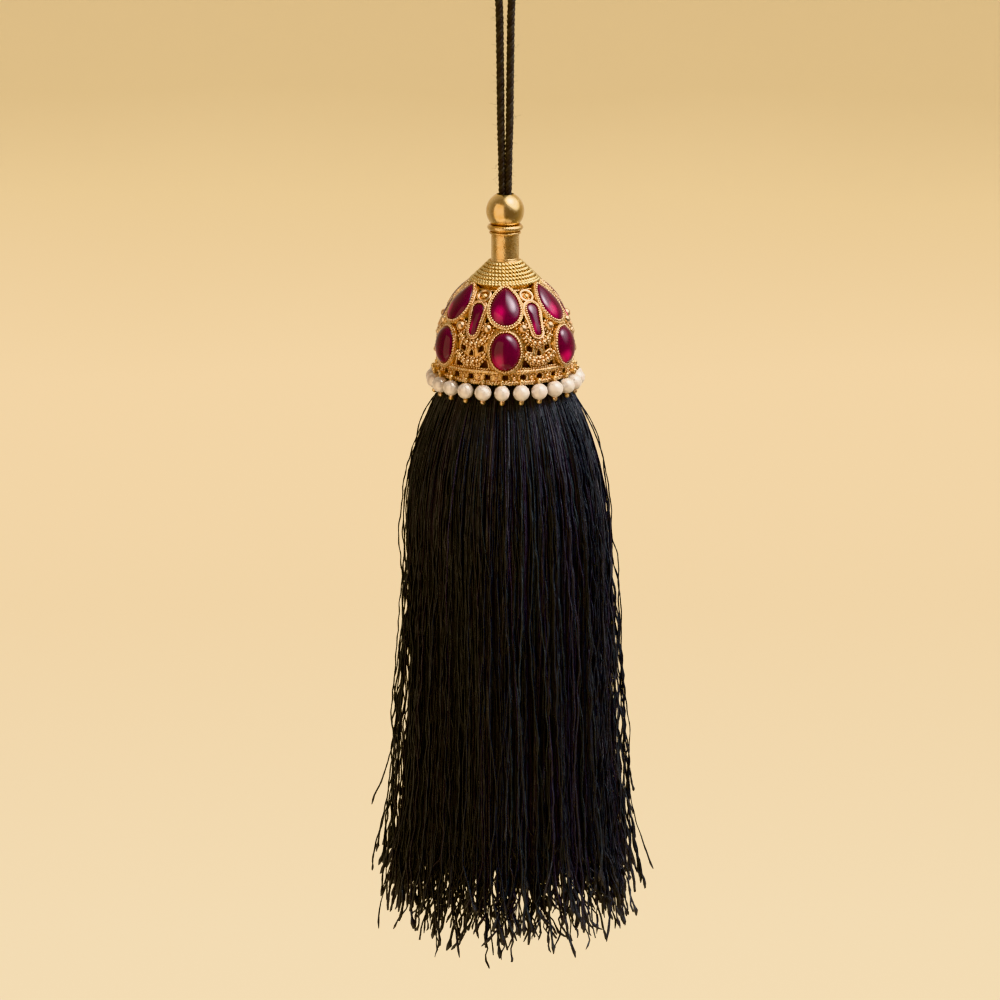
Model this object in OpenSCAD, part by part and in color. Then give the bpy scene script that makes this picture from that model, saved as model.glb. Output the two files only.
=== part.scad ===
// Hair tassel: a pierced gold cap set with ruby cabochons and edged with pearls,
// over a skirt of black silk thread, hung from a doubled black cord.
// Millimetres. +Z is up and -Y is the front. The origin is the underside of the
// cord loop's crown, where a hook, a hair pin or the end of a braid carries it.

/* [Dome] */
// Outer radius of the dome's wall at the rim
dome_r = 12; // [11.8:0.05:12.2]
// Thickness of the dome's wall
dome_wall = 0.9; // [0.8:0.05:1]
// Height of the straight band above the rim
band_h = 3.4; // [3.2:0.05:3.6]
// Height of the dome above the rim
dome_h = 16.3; // [16.1:0.05:16.5]
// How far behind the axis the flank's arc is centred
flank_back = 3.65; // [3.5:0.05:3.8]

/* [Neck] */
// Outer radius of the neck tube
tube_r = 2.5; // [2.45:0.05:2.6]
// Radius of the neck's bore, which the two cord legs pass through
tube_bore_r = 1.6; // [1.55:0.05:1.8]
// Radius of the ringed shoulder where it meets the dome
shoulder_r = 5.85; // [5.7:0.05:6]
// Height of the shoulder
shoulder_h = 3.25; // [3:0.05:3.5]
// Height of the collar's middle above the rim
collar_z = 26; // [25.5:0.05:27]
// Radius of the ball bead
ball_r = 3.4; // [3.2:0.05:3.5]

/* [Stones] */
// Width of the oval stones
oval_w = 5.35; // [5.2:0.05:5.4]
// Length of the oval stones
oval_l = 6.75; // [6.6:0.05:6.8]
// Height of the oval stones above the dome
oval_h = 1.95; // [1.5:0.05:2.1]
// Width of the drop stones
drop_w = 5.3; // [5.1:0.05:5.4]
// Length of the drop stones
drop_l = 7.6; // [7.4:0.05:7.6]
// Height of the drop stones above the dome
drop_h = 1.35; // [1:0.05:1.6]
// Width of the narrow stones at their upper end
narrow_w = 3.1; // [2.9:0.05:3.2]
// Length of the narrow stones
narrow_l = 6; // [5.8:0.05:6.1]
// Height of the narrow stones above the dome
narrow_h = 0.75; // [0.6:0.05:0.9]

/* [Pearls] */
// Radius of a pearl
pearl_r = 1.5; // [1.4:0.05:1.5]
// How far the pearls' middles stand outside the dome's wall
pearl_out = 1; // [1:0.05:1.3]
// Radius of the pins that the pearls are threaded on
pin_r = 0.25; // [0.2:0.01:0.28]

/* [Threads and cord] */
// Length of the thread skirt below the rim
skirt_l = 105; // [80:1:130]
// Number of locks round the skirt
locks = 36; // [24:2:48]
// Diameter of the cord
cord_d = 1.4; // [1.3:0.02:1.4]

/* [Hidden] */
// The rim's height in the row frame: the hanging point is this far above it.
rim_z = -78;
front = -90;
sectors = 6;
sector = 360 / sectors;
gap = 0.05;
$fn = 64;

// The dome's profile is one arc above the straight band.
arc_r = dome_r + flank_back;
arc_top = asin((dome_h - band_h) / arc_r);
arc_steps = 8;
// The outline of each stone, in points, and a narrow stone's lower radius to its width.
outline_n = 24;
narrow_taper = 0.22;
// The most that the sine of an angle times the root of its half's sine comes to.
drop_fullest = 2 * pow(0.6, 0.75) * sqrt(0.4);

// Where the stones and ornaments sit: degrees up the dome's arc.
oval_at = 9.2;
drop_at = 38.4;
narrow_at = 29;
eyelet_at = 46;
flower_at = 23.5;
flower_turn = 14;

// Each stone lies in a shallow pocket, and its bezel runs from inside the wall to just
// over the stone's edge. A narrow stone's bezel is thinner.
pocket = 0.4;
girdle_h = 0.5;
bezel_wall = 0.55;
narrow_bezel_wall = 0.25;
bezel_sink = 1;
bezel_rise = 0.35;

// How far a cutter runs past each face that it cuts.
cut_past = 0.8;

// The lattice band, and the rings above and below its holes.
hole_count = 24;
hole_size = [1.05, 0.95];
hole_z = 1.3;
rim_ring_r = 0.38;
rim_ring_z = 0.28;
rim_ring_in = 0.1;
band_ring_r = 0.38;
band_ring_z = 2.3;

// Eyelet rings, flowers and garlands, as wire and granule radii.
eyelet_r = 1.15;
eyelet_wire_r = 0.25;
eyelet_granule_r = 0.6;
flower_r = 0.9;
garland_wire_r = 0.36;
wire_lift = 0.05;

// The collar, the thin ring under it, and the shoulder's stacked rings.
collar_wire_r = 0.5;
collar_ring_out = 0.2;
thin_ring_r = 0.25;
thin_ring_out = 0.1;
thin_ring_drop = 0.95;
neck_top_drop = 0.25;
shoulder_lift = 0.35;
shoulder_floor = 1.4;
shoulder_rings = 6;
shoulder_ring_r = 0.38;
shoulder_ring_in = 0.1;

// The ball rests on the collar, a hair's breadth clear.
ball_z = collar_z
       + sqrt(pow(ball_r + collar_wire_r + gap, 2) - pow(tube_r + collar_ring_out, 2));
ball_bore_r = 1.55;

// Pearls hang just outside the rim, each on a pin with a granule below.
pearl_count = 24;
pearl_turn = -2.5;
pearl_ring_r = dome_r + pearl_out;
pearl_z = -1.3;
pearl_bore_r = pin_r + 0.1;
ear_z = 0.75;
ear_r = 0.32;
ear_root = 0.3;
ear_ball_r = 0.38;
granule_r = 0.45;
granule_drop = sqrt(pow(pearl_r, 2) - pow(pearl_bore_r, 2))
             + sqrt(pow(granule_r, 2) - pow(pearl_bore_r, 2)) + gap;

// The gaps of one sector, mirrored about its middle where turn isn't 0.
// Columns: turn from the sector's middle in degrees, degrees up the arc, outline in mm.
TURN = 0;
UP = 1;
OUTLINE = 2;
dome_gaps = [
    [11.5, 47.5, [[-0.5, 0.9], [0.6, 0.9], [-0.3, -0.9]]],
    [12.3, 29, [[0.95, -0.85], [-0.45, -0.85], [-0.4, 0.3], [-0.15, 1.1], [0.1, 0.75]]],
    [8.3, 10.6, [[-0.35, -0.7], [-0.5, 0.1], [0.25, 0.8], [0.65, 0.2], [0.55, -0.35]]],
    [12, 1, [[-0.95, -0.75], [0.75, -0.75], [0.6, 0.2], [0.2, 1.1], [-0.3, 0.2]]],
    [0, 7.6, [[-0.42, -0.5], [0.42, -0.5], [0.3, 0.15], [0, 0.65], [-0.3, 0.15]]],
];

// The two garlands under each narrow stone.
// Columns: degrees up the arc of the lowest point, half the span and the sag, in mm.
LOW = 0;
SPAN = 1;
SAG = 2;
garlands = [
    [13.4, 2.4, 1.4],
    [1.8, 2.8, 1.5],
];

// The thread skirt below the rim. Columns: share of its length, radius, depth of the locks.
SHARE = 0;
RADIUS = 1;
DEPTH = 2;
skirt_rows = [
    [0, 10.6, 0.05],
    [0.014, 11, 0.1],
    [0.028, 11.7, 0.2],
    [0.047, 12.9, 0.25],
    [0.1, 15, 0.35],
    [0.155, 16.7, 0.45],
    [0.245, 18.3, 0.5],
    [0.43, 19.8, 0.6],
    [0.62, 21, 0.7],
    [0.82, 22.2, 0.9],
    [0.89, 22.8, 1.1],
];
// Below the last row each lock runs out in a point round a hollow underside. The points
// differ in length by a pattern that repeats round the hem.
hem_rise = [0, 2.2, 0.8, 3.1, 1.2, 2.6, 0.3, 1.8, 3.6];
hem_groove_rise = 6.5;
hem_flare = 1;
hem_depth = 1.6;
hem_inner_share = 0.86;
hem_inner_rise = 9.5;
hem_hollow = 1;
lock_points = 4;

// The head of the skirt fills the dome, clear of its wall.
head_clear = 0.5;
head_top = 13.9;
head_steps = 5;

// The cord's route: half of it, from the head's top to the loop's crown, as [x, z].
// The other half is its mirror image.
leg_x = 0.72;
loop_r = 3.3;
cord_route = [
    [leg_x, rim_z + head_top], [leg_x, -60], [leg_x, -56], [leg_x, -52], [leg_x, -47],
    [leg_x, -43], [leg_x, -39], [0.76, -35], [0.8, -31], [0.84, -27], [0.89, -23],
    [0.94, -19], [1, -15], [1.14, -12], [1.5, -9.4], [2.12, -7.2], [2.78, -5.2],
    [3.2, -3.6],
];
crown_steps = 6;
cord_sides = 8;

stone_kinds = ["oval", "drop", "narrow"];

function stone_name(kind, k) = str(kind, "_stone_", k);

function pearl_name(k) = str("pearl_", k < 10 ? "0" : "", k);

// Radius and height of the dome's arc, drawn in by a depth below its surface.
function arc_point(up, depth = 0) = [
    (arc_r - depth) * cos(up) - flank_back,
    band_h + (arc_r - depth) * sin(up)
];

// An outline moved out by t along its corners' mitres. It runs counter-clockwise.
function grown(outline, t) = let (n = len(outline)) [
    for (k = [0:n - 1])
        let (
            before = outline[(k + n - 1) % n],
            here = outline[k],
            after = outline[(k + 1) % n],
            a = (here - before) / norm(here - before),
            b = (after - here) / norm(after - here),
            out_a = [a[1], -a[0]],
            out_b = [b[1], -b[0]]
        )
        here + t * (out_a + out_b) / (1 + out_a * out_b)
];

// The stones' outlines, centred on their own length, with +Y up the dome.
function oval_outline(w, l) = [
    for (k = [0:outline_n - 1])
        [w / 2 * cos(360 * k / outline_n), l / 2 * sin(360 * k / outline_n)]
];

function drop_outline(w, l) = [
    for (k = [0:outline_n - 1])
        let (a = 360 * k / outline_n)
        [-w / 2 * sin(a) * sqrt(sin(a / 2)) / drop_fullest, l / 2 * cos(a)]
];

function narrow_outline(w, l) =
    let (
        top_r = w / 2,
        low_r = w * narrow_taper,
        n = outline_n / 2,
        lean = asin((top_r - low_r) / (l - top_r - low_r))
    )
    concat(
        [
            for (k = [0:n - 1])
                let (a = -lean + (180 + 2 * lean) * k / (n - 1))
                [top_r * cos(a), l / 2 - top_r + top_r * sin(a)]
        ],
        [
            for (k = [0:n - 1])
                let (a = 180 + lean + (180 - 2 * lean) * k / (n - 1))
                [low_r * cos(a), low_r - l / 2 + low_r * sin(a)]
        ]
    );

function outline_of(kind) =
    kind == "oval" ? oval_outline(oval_w, oval_l)
    : kind == "drop" ? drop_outline(drop_w, drop_l)
    : narrow_outline(narrow_w, narrow_l);

function up_of(kind) = kind == "oval" ? oval_at : kind == "drop" ? drop_at : narrow_at;

function turn_of(kind) = kind == "narrow" ? sector / 2 : 0;

function height_of(kind) = kind == "oval" ? oval_h : kind == "drop" ? drop_h : narrow_h;

function bezel_wall_of(kind) = kind == "narrow" ? narrow_bezel_wall : bezel_wall;

// Side triangles between two neighbouring rings of n points, outward for rings that rise.
function band_faces(low, n) = [
    for (k = [0:n - 1], half = [0, 1])
        let (a = low + k, b = low + (k + 1) % n)
        half == 0 ? [a, a + n, b] : [b, a + n, b + n]
];

// A cabochon: a flat back, an upright girdle, and a crown of shrinking rings to one point.
module cabochon(outline, h) {
    n = len(outline);
    crown = [0, 25, 50, 72];
    back = gap - pocket;
    edge = back + girdle_h;
    rings = concat(
        [[for (p = outline) [p[0], p[1], back]]],
        [
            for (a = crown)
                [
                    for (p = outline)
                        [p[0] * cos(a), p[1] * cos(a), edge + (h - edge) * sin(a)]
                ]
        ]
    );
    points = concat([for (ring = rings, p = ring) p], [[0, 0, h]]);
    last = n * (len(rings) - 1);
    faces = concat(
        [for (k = [1:n - 2]) [0, k, k + 1]],
        [for (r = [0:len(rings) - 2]) for (f = band_faces(n * r, n)) f],
        [for (k = [0:n - 1]) [last + k, len(points) - 1, last + (k + 1) % n]]
    );
    polyhedron(points, faces);
}

// Puts its children on the dome: +Z along the wall's outward normal, +Y up the dome.
module on_dome(turn, up) {
    at = arc_point(up);
    translate([0, 0, rim_z])
        rotate([0, 0, front + turn])
            translate([at[0], 0, at[1]])
                rotate([0, -up, 0])
                    rotate([90, 0, 90])
                        children();
}

module each_sector() {
    for (k = [0:sectors - 1])
        rotate([0, 0, sector * k]) children();
}

// The dome's wall, the shoulder, the neck and their rings, as one turned profile.
module turned_body() {
    outer = [for (k = [0:arc_steps]) arc_point(arc_top * k / arc_steps)];
    inner = [for (k = [arc_steps:-1:0]) arc_point(arc_top * k / arc_steps, dome_wall)];
    shoulder_z = dome_h + shoulder_lift;
    floor_z = dome_h - shoulder_floor;
    top_z = collar_z - neck_top_drop;
    translate([0, 0, rim_z])
        rotate_extrude()
            difference() {
                union() {
                    polygon(concat(
                        [[dome_r - dome_wall, 0], [dome_r, 0]],
                        outer,
                        inner
                    ));
                    polygon([
                        [tube_bore_r, floor_z],
                        [outer[arc_steps][0], floor_z],
                        [shoulder_r, shoulder_z],
                        [tube_r, shoulder_z + shoulder_h],
                        [tube_r, top_z],
                        [tube_bore_r, top_z]
                    ]);
                    for (k = [0:shoulder_rings - 1])
                        let (share = (k + 0.5) / shoulder_rings)
                        translate([
                            shoulder_r + (tube_r - shoulder_r) * share - shoulder_ring_in,
                            shoulder_z + shoulder_h * share
                        ])
                            circle(shoulder_ring_r);
                    translate([tube_r + collar_ring_out, collar_z]) circle(collar_wire_r);
                    translate([tube_r + thin_ring_out, collar_z - thin_ring_drop])
                        circle(thin_ring_r);
                    translate([dome_r - rim_ring_in, rim_ring_z]) circle(rim_ring_r);
                    translate([dome_r, band_ring_z]) circle(band_ring_r);
                }
                square([tube_bore_r, collar_z + collar_wire_r]);
            }
}

// One radial cutter through the dome's wall.
module dome_cutter(turn, up, outline) {
    on_dome(turn, up)
        translate([0, 0, -dome_wall - cut_past])
            linear_extrude(dome_wall + 2 * cut_past)
                polygon(outline);
}

module sector_gaps() {
    for (g = dome_gaps, side = g[TURN] == 0 ? [1] : [-1, 1])
        dome_cutter(
            sector / 2 + side * g[TURN],
            g[UP],
            [for (p = g[OUTLINE]) [side * p[0], p[1]]]
        );
}

module lattice_holes() {
    for (k = [0:hole_count - 1])
        rotate([0, 0, front + 360 * k / hole_count])
            translate([dome_r, 0, rim_z + hole_z])
                cube([2 * (dome_wall + cut_past), hole_size[0], hole_size[1]], center = true);
}

module bezel(kind) {
    on_dome(turn_of(kind), up_of(kind))
        translate([0, 0, -bezel_sink])
            linear_extrude(bezel_sink + bezel_rise)
                polygon(grown(outline_of(kind), gap + bezel_wall_of(kind)));
}

// The room that one stone takes, a hair's breadth larger all round.
module stone_pocket(kind) {
    on_dome(turn_of(kind), up_of(kind))
        translate([0, 0, -pocket])
            linear_extrude(pocket + height_of(kind) + cut_past)
                polygon(grown(outline_of(kind), gap));
}

// A wire arc that hangs between two points and lies on the dome.
module garland(row) {
    r = (pow(row[SPAN], 2) + pow(row[SAG], 2)) / (2 * row[SAG]);
    half = asin(row[SPAN] / r);
    on_dome(sector / 2, row[LOW])
        translate([0, r, wire_lift])
            rotate([0, 0, 270 - half])
                rotate_extrude(angle = 2 * half)
                    translate([r, 0])
                        circle(garland_wire_r);
}

module eyelet() {
    on_dome(sector / 2, eyelet_at) {
        translate([0, 0, wire_lift])
            rotate_extrude()
                translate([eyelet_r, 0])
                    circle(eyelet_wire_r);
        sphere(eyelet_granule_r);
    }
}

module flowers() {
    for (side = [-1, 1])
        on_dome(sector / 2 + side * flower_turn, flower_at)
            translate([0, 0, wire_lift])
                sphere(flower_r);
}

// The ear, pin and granule that carry one pearl.
module pearl_pin() {
    translate([0, 0, rim_z + ear_z]) {
        translate([dome_r - ear_root, 0, 0])
            rotate([0, 90, 0])
                cylinder(r = ear_r, h = pearl_out + ear_root);
        translate([pearl_ring_r, 0, 0]) sphere(ear_ball_r);
    }
    translate([pearl_ring_r, 0, rim_z + pearl_z - granule_drop]) {
        cylinder(r = pin_r, h = ear_z - pearl_z + granule_drop);
        sphere(granule_r);
    }
}

module each_pearl() {
    for (k = [0:pearl_count - 1])
        rotate([0, 0, front + pearl_turn + 360 * k / pearl_count]) children();
}

module cap() {
    color("goldenrod") {
        difference() {
            union() {
                difference() {
                    turned_body();
                    each_sector() sector_gaps();
                    lattice_holes();
                }
                each_sector() {
                    for (kind = stone_kinds) bezel(kind);
                    for (row = garlands) garland(row);
                    eyelet();
                    flowers();
                }
            }
            each_sector()
                for (kind = stone_kinds) stone_pocket(kind);
        }
        each_pearl() pearl_pin();
    }
}

module ball_bead() {
    color("gold")
        translate([0, 0, rim_z + ball_z])
            difference() {
                sphere(ball_r);
                cylinder(r = ball_bore_r, h = 3 * ball_r, center = true);
            }
}

module stone(kind, k) {
    color("crimson")
        rotate([0, 0, sector * (k - 1)])
            on_dome(turn_of(kind), up_of(kind))
                cabochon(outline_of(kind), height_of(kind));
}

module pearl(k) {
    color("ivory")
        rotate([0, 0, front + pearl_turn + 360 * (k - 1) / pearl_count])
            translate([pearl_ring_r, 0, rim_z + pearl_z])
                difference() {
                    sphere(pearl_r);
                    cylinder(r = pearl_bore_r, h = 3 * pearl_r, center = true);
                }
}

// The skirt's rings run from the head's top down to the hem.
// A lock is a ridge between two grooves; its point hangs by its own length.
module thread_skirt() {
    n = locks * lock_points;
    head_r = arc_r - dome_wall - head_clear;
    head_low = asin((head_top - band_h) / head_r);
    head_rows = [
        for (k = [head_steps:-1:0])
            let (a = head_low * k / head_steps)
            [head_r * cos(a) - flank_back, band_h + head_r * sin(a), 0]
    ];
    skirt = [
        for (row = skirt_rows) [row[RADIUS], -row[SHARE] * skirt_l, row[DEPTH]]
    ];
    end = skirt_rows[len(skirt_rows) - 1];
    ridge = [for (k = [0:n - 1]) (1 - cos(360 * k / lock_points)) / 2];
    end_rise = [
        for (k = [0:n - 1])
            let (lock = floor(k / lock_points))
            hem_rise[lock % len(hem_rise)] + hem_groove_rise * (1 - ridge[k])
    ];
    rings = concat(
        [
            for (row = concat(head_rows, skirt))
                [
                    for (k = [0:n - 1])
                        let (r = row[0] - row[2] * (1 - ridge[k]), a = 360 * k / n)
                        [r * cos(a), r * sin(a), rim_z + row[1]]
                ]
        ],
        [
            [
                for (k = [0:n - 1])
                    let (
                        r = end[RADIUS] + hem_flare - hem_depth * (1 - ridge[k]),
                        a = 360 * k / n
                    )
                    [r * cos(a), r * sin(a), rim_z - skirt_l + end_rise[k]]
            ],
            [
                for (k = [0:n - 1])
                    let (r = end[RADIUS] * hem_inner_share, a = 360 * k / n)
                    [r * cos(a), r * sin(a), rim_z - skirt_l + hem_inner_rise]
            ]
        ]
    );
    top = [0, 0, rim_z + head_top];
    under = [0, 0, rim_z - skirt_l + hem_inner_rise + hem_hollow];
    points = concat([for (ring = rings, p = ring) p], [top, under]);
    last = n * (len(rings) - 1);
    faces = concat(
        [for (k = [0:n - 1]) [n * len(rings), (k + 1) % n, k]],
        [
            for (r = [0:len(rings) - 2])
                for (f = band_faces(n * r, n)) [f[0], f[2], f[1]]
        ],
        [for (k = [0:n - 1]) [n * len(rings) + 1, last + k, last + (k + 1) % n]]
    );
    color("black") polyhedron(points, faces);
}

// The doubled cord as one tube along its route, up one leg, over the loop and down.
module cord() {
    crown = [
        for (k = [0:crown_steps])
            let (a = 180 * k / crown_steps)
            [loop_r * cos(a), cord_d / 2 - loop_r + loop_r * sin(a)]
    ];
    legs = len(cord_route);
    line = concat(
        cord_route,
        crown,
        [for (k = [legs - 1:-1:0]) [-cord_route[k][0], cord_route[k][1]]]
    );
    count = len(line);
    tangent = [
        for (k = [0:count - 1])
            k == 0 || k == count - 1
                ? [0, k == 0 ? 1 : -1]
                : (line[k + 1] - line[k - 1]) / norm(line[k + 1] - line[k - 1])
    ];
    points = [
        for (k = [0:count - 1], s = [0:cord_sides - 1])
            let (
                a = 360 * (s + 0.5) / cord_sides,
                across = cord_d / 2 * cos(a),
                out = [tangent[k][1], -tangent[k][0]]
            )
            [
                line[k][0] + out[0] * across,
                cord_d / 2 * sin(a),
                line[k][1] + out[1] * across
            ]
    ];
    faces = concat(
        [[for (s = [0:cord_sides - 1]) s]],
        [for (k = [0:count - 2]) for (f = band_faces(cord_sides * k, cord_sides)) f],
        [[for (s = [cord_sides - 1:-1:0]) cord_sides * (count - 1) + s]]
    );
    color("black") polyhedron(points, faces);
}

thread_skirt();
cap();
ball_bead();
cord();
for (kind = stone_kinds, k = [1:sectors])
    stone(kind, k);
for (k = [1:pearl_count])
    pearl(k);
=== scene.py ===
"""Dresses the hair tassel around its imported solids.

Each sub-assembly is a class: the cord, the neck, the stones with their bezels, the wire
and granule work of the dome, the pearls and the silk skirt. Sizes are millimetres in
the tassel's own frame, with +Z up, -Y the front and the origin under the crown of the
cord's loop. They become metres when a mesh is made.
"""

from __future__ import annotations

import logging
import math
from dataclasses import dataclass
from enum import Enum
from itertools import combinations

import bpy
import numpy as np
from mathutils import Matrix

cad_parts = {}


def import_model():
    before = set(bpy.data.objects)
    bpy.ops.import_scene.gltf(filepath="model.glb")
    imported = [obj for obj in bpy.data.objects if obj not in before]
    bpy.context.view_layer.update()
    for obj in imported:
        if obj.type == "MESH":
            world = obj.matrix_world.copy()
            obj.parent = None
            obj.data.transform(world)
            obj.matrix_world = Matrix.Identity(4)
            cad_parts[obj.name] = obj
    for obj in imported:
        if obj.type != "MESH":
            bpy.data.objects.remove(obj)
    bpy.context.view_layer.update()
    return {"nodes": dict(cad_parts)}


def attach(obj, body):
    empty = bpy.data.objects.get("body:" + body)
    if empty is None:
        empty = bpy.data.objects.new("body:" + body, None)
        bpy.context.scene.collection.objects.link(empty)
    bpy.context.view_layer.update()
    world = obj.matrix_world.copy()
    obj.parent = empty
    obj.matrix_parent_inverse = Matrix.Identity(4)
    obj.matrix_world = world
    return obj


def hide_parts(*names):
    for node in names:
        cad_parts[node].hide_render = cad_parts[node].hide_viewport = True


MM = 0.001
BODY = "root"
SEED = 7
UP = np.array([0.0, 0.0, 1.0])
Array = np.ndarray
Rng = np.random.Generator
Shell = tuple[Array, list[Array]]
Pair = tuple[float, float]
Colour = tuple[float, float, float]
Material = bpy.types.Material
Socket = bpy.types.NodeSocket
Inputs = dict[str | int, Socket | float | Colour]
log = logging.getLogger("hair_tassel")


class Slot(Enum):
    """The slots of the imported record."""

    THREAD = "black_thread"
    GOLD = "gold"
    CORD = "black_cord"
    RUBY = "ruby"
    PEARL = "pearl"


class Cut(Enum):
    """The three cuts of stone on the dome."""

    OVAL = "oval"
    DROP = "drop"
    NARROW = "narrow"


# Small geometry helpers


def unit(vectors: Array) -> Array:
    """Vectors scaled to a length of one."""
    return vectors / np.maximum(np.linalg.norm(vectors, axis=-1, keepdims=True), 1e-9)


def all_round(count: int) -> Array:
    """Angles spread evenly over a full turn, in radians."""
    return 2 * math.pi * np.arange(count) / count


def stacked(*parts: float | Array) -> Array:
    """Points from their coordinates, which broadcast to one shape."""
    return np.stack(np.broadcast_arrays(*parts), axis=-1)


def risen(value: Array, start: float | Array, over: float) -> Array:
    """How far a value has come through a stretch, from 0 at its start to 1 at its end."""
    return np.clip((value - start) / over, 0, 1)


def spans(line: Array) -> Array:
    """Distances from each point of a line to the next."""
    return np.linalg.norm(np.diff(line, axis=0), axis=1)


def walls(here: Array, ahead: Array) -> Array:
    """Quads between rings of point numbers and the rings that follow them."""
    quads = np.stack([here, np.roll(here, -1, -1), np.roll(ahead, -1, -1), ahead], axis=-1)
    return quads.reshape(-1, 4)


def side_axes(paths: Array, closed: bool) -> tuple[Array, Array]:
    """Carries two axes square to each path along it without twist.

    Args:
        paths: Centre lines, shaped (paths, steps, 3).
        closed: True where each path's end meets its start.

    Returns:
        The two axes at each point, each shaped like paths.
    """
    if closed:
        tangent = unit(np.roll(paths, -1, axis=1) - np.roll(paths, 1, axis=1))
    else:
        tangent = unit(np.gradient(paths, axis=1))
    upright = np.abs(tangent[:, 0, 2:3]) > 0.7
    now = np.where(upright, np.array([1.0, 0.0, 0.0]), UP)
    side = np.empty_like(paths)
    for step in range(paths.shape[1]):
        along = tangent[:, step]
        now = unit(now - along * np.sum(now * along, axis=-1, keepdims=True))
        side[:, step] = now
    return side, np.cross(tangent, side)


def tubes(paths: Array, radii: float | Array, sides: int, closed: bool = False) -> Shell:
    """Sweeps a round tube along each path, with its ends closed.

    Args:
        paths: Centre lines, shaped (paths, steps, 3).
        radii: Radii that broadcast to (paths, steps).
        sides: Corners of each ring.
        closed: True where each path's end meets its start.

    Returns:
        The points, shaped (paths * steps * sides, 3), and the faces by their width.
    """
    count, steps = paths.shape[:2]
    side, other = side_axes(paths, closed)
    turn = all_round(sides)[:, None]
    ring = side[:, :, None] * np.cos(turn) + other[:, :, None] * np.sin(turn)
    points = paths[:, :, None] + ring * np.broadcast_to(radii, (count, steps))[:, :, None, None]
    index = np.arange(count * steps * sides).reshape(count, steps, sides)
    if closed:
        return points.reshape(-1, 3), [walls(index, np.roll(index, -1, axis=1))]
    faces = [walls(index[:, :-1], index[:, 1:]), index[:, 0, ::-1], index[:, -1]]
    return points.reshape(-1, 3), faces


def wire_ring(line: Array, radius: float, sides: int) -> Shell:
    """One round wire along a closed line."""
    return tubes(line[None], radius, sides, closed=True)


def rope(path: Array, plies: int, ply_r: float | Array, lay_r: float | Array, turns: float,
         steps: int, sides: int, closed: bool = False) -> Shell:
    """Twists plies round one centre line.

    Args:
        path: The centre line, shaped (points, 3).
        plies: How many plies are twisted together.
        ply_r: Radius of one ply, or one radius for each ring.
        lay_r: How far each ply's centre lies from the centre line, likewise.
        turns: Full turns over the whole length.
        steps: Rings along each ply.
        sides: Corners of each ring.
        closed: True for a wire ring.

    Returns:
        The points and the faces of all the plies.
    """
    line = resampled(path, steps, closed)[None]
    side, other = side_axes(line, closed)
    share = np.arange(steps) / (steps if closed else steps - 1)
    out = np.broadcast_to(lay_r, steps)[None, :, None]
    strands = []
    for ply in range(plies):
        angle = (2 * math.pi * (turns * share + ply / plies))[None, :, None]
        strands.append(line + out * (side * np.cos(angle) + other * np.sin(angle)))
    return tubes(np.concatenate(strands), ply_r, sides, closed)


def resampled(path: Array, count: int, closed: bool = False) -> Array:
    """Spreads points evenly along a line.

    Args:
        path: The line's points, shaped (points, axes).
        count: How many points to return.
        closed: True where the line's end meets its start.

    Returns:
        The evenly spaced points.
    """
    if closed:
        path = np.concatenate([path, path[:1]])
    reach = np.concatenate([[0], np.cumsum(spans(path))])
    wanted = np.linspace(0, reach[-1], count, endpoint=not closed)
    return np.stack([np.interp(wanted, reach, axis) for axis in path.T], axis=1)


def smooth_line(points: Array, per_span: int) -> Array:
    """Rounds a given line through all its points with Catmull-Rom curves.

    Args:
        points: The line's points, shaped (points, axes).
        per_span: Points on each span between two of them.

    Returns:
        The rounded line.
    """
    padded = np.concatenate([2 * points[:1] - points[1:2], points, 2 * points[-1:] - points[-2:-1]])
    share = (np.arange(per_span) / per_span)[:, None]
    line = []
    for before, start, end, after in zip(padded, padded[1:], padded[2:], padded[3:]):
        bend = 2 * before - 5 * start + 4 * end - after
        twist = 3 * (start - end) + after - before
        line.append(0.5 * (2 * start + (end - before) * share + bend * share**2 + twist * share**3))
    return np.concatenate([*line, points[-1:]])


def granule(splits: int) -> tuple[Array, Array]:
    """One round ball of radius one.

    Args:
        splits: How often each face of the icosahedron is split into four.

    Returns:
        The ball's points and its triangles.
    """
    gold = (1 + math.sqrt(5)) / 2
    corners = [(a, b * gold, 0.0) for b in (1, -1) for a in (-1, 1)]
    corners += [(0.0, a, b * gold) for b in (1, -1) for a in (-1, 1)]
    corners += [(b * gold, 0.0, a) for b in (1, -1) for a in (-1, 1)]
    points = list(unit(np.array(corners)))
    edge = np.linalg.norm(points[0] - points[1]) * 1.01
    faces = []
    for a, b, c in combinations(range(len(corners)), 3):
        face = np.array([points[a], points[b], points[c]])
        if np.linalg.norm(face - np.roll(face, -1, 0), axis=1).max() < edge:
            faces.append((a, b, c) if np.linalg.det(face) > 0 else (a, c, b))
    for _ in range(splits):
        middles: dict[tuple[int, ...], int] = {}
        split = []
        for a, b, c in faces:
            mids = []
            for pair in ((a, b), (b, c), (c, a)):
                key = tuple(sorted(pair))
                if key not in middles:
                    middles[key] = len(points)
                    points.append(unit(points[pair[0]] + points[pair[1]]))
                mids.append(middles[key])
            split += [(a, mids[0], mids[2]), (b, mids[1], mids[0]), (c, mids[2], mids[1]), tuple(mids)]
        faces = split
    return np.array(points), np.array(faces)


def balls(centres: Array, radii: float | Array, splits: int = 1) -> Shell:
    """Places a ball at each centre.

    Args:
        centres: The centres, shaped (balls, 3).
        radii: Radii that broadcast to (balls,).
        splits: How finely each ball is made.

    Returns:
        The points and the faces of all the balls.
    """
    points, faces = granule(splits)
    radii = np.broadcast_to(radii, len(centres))
    placed = centres[:, None] + points[None] * radii[:, None, None]
    offsets = np.arange(len(centres))[:, None, None] * len(points)
    return placed.reshape(-1, 3), [(faces[None] + offsets).reshape(-1, 3)]


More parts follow.
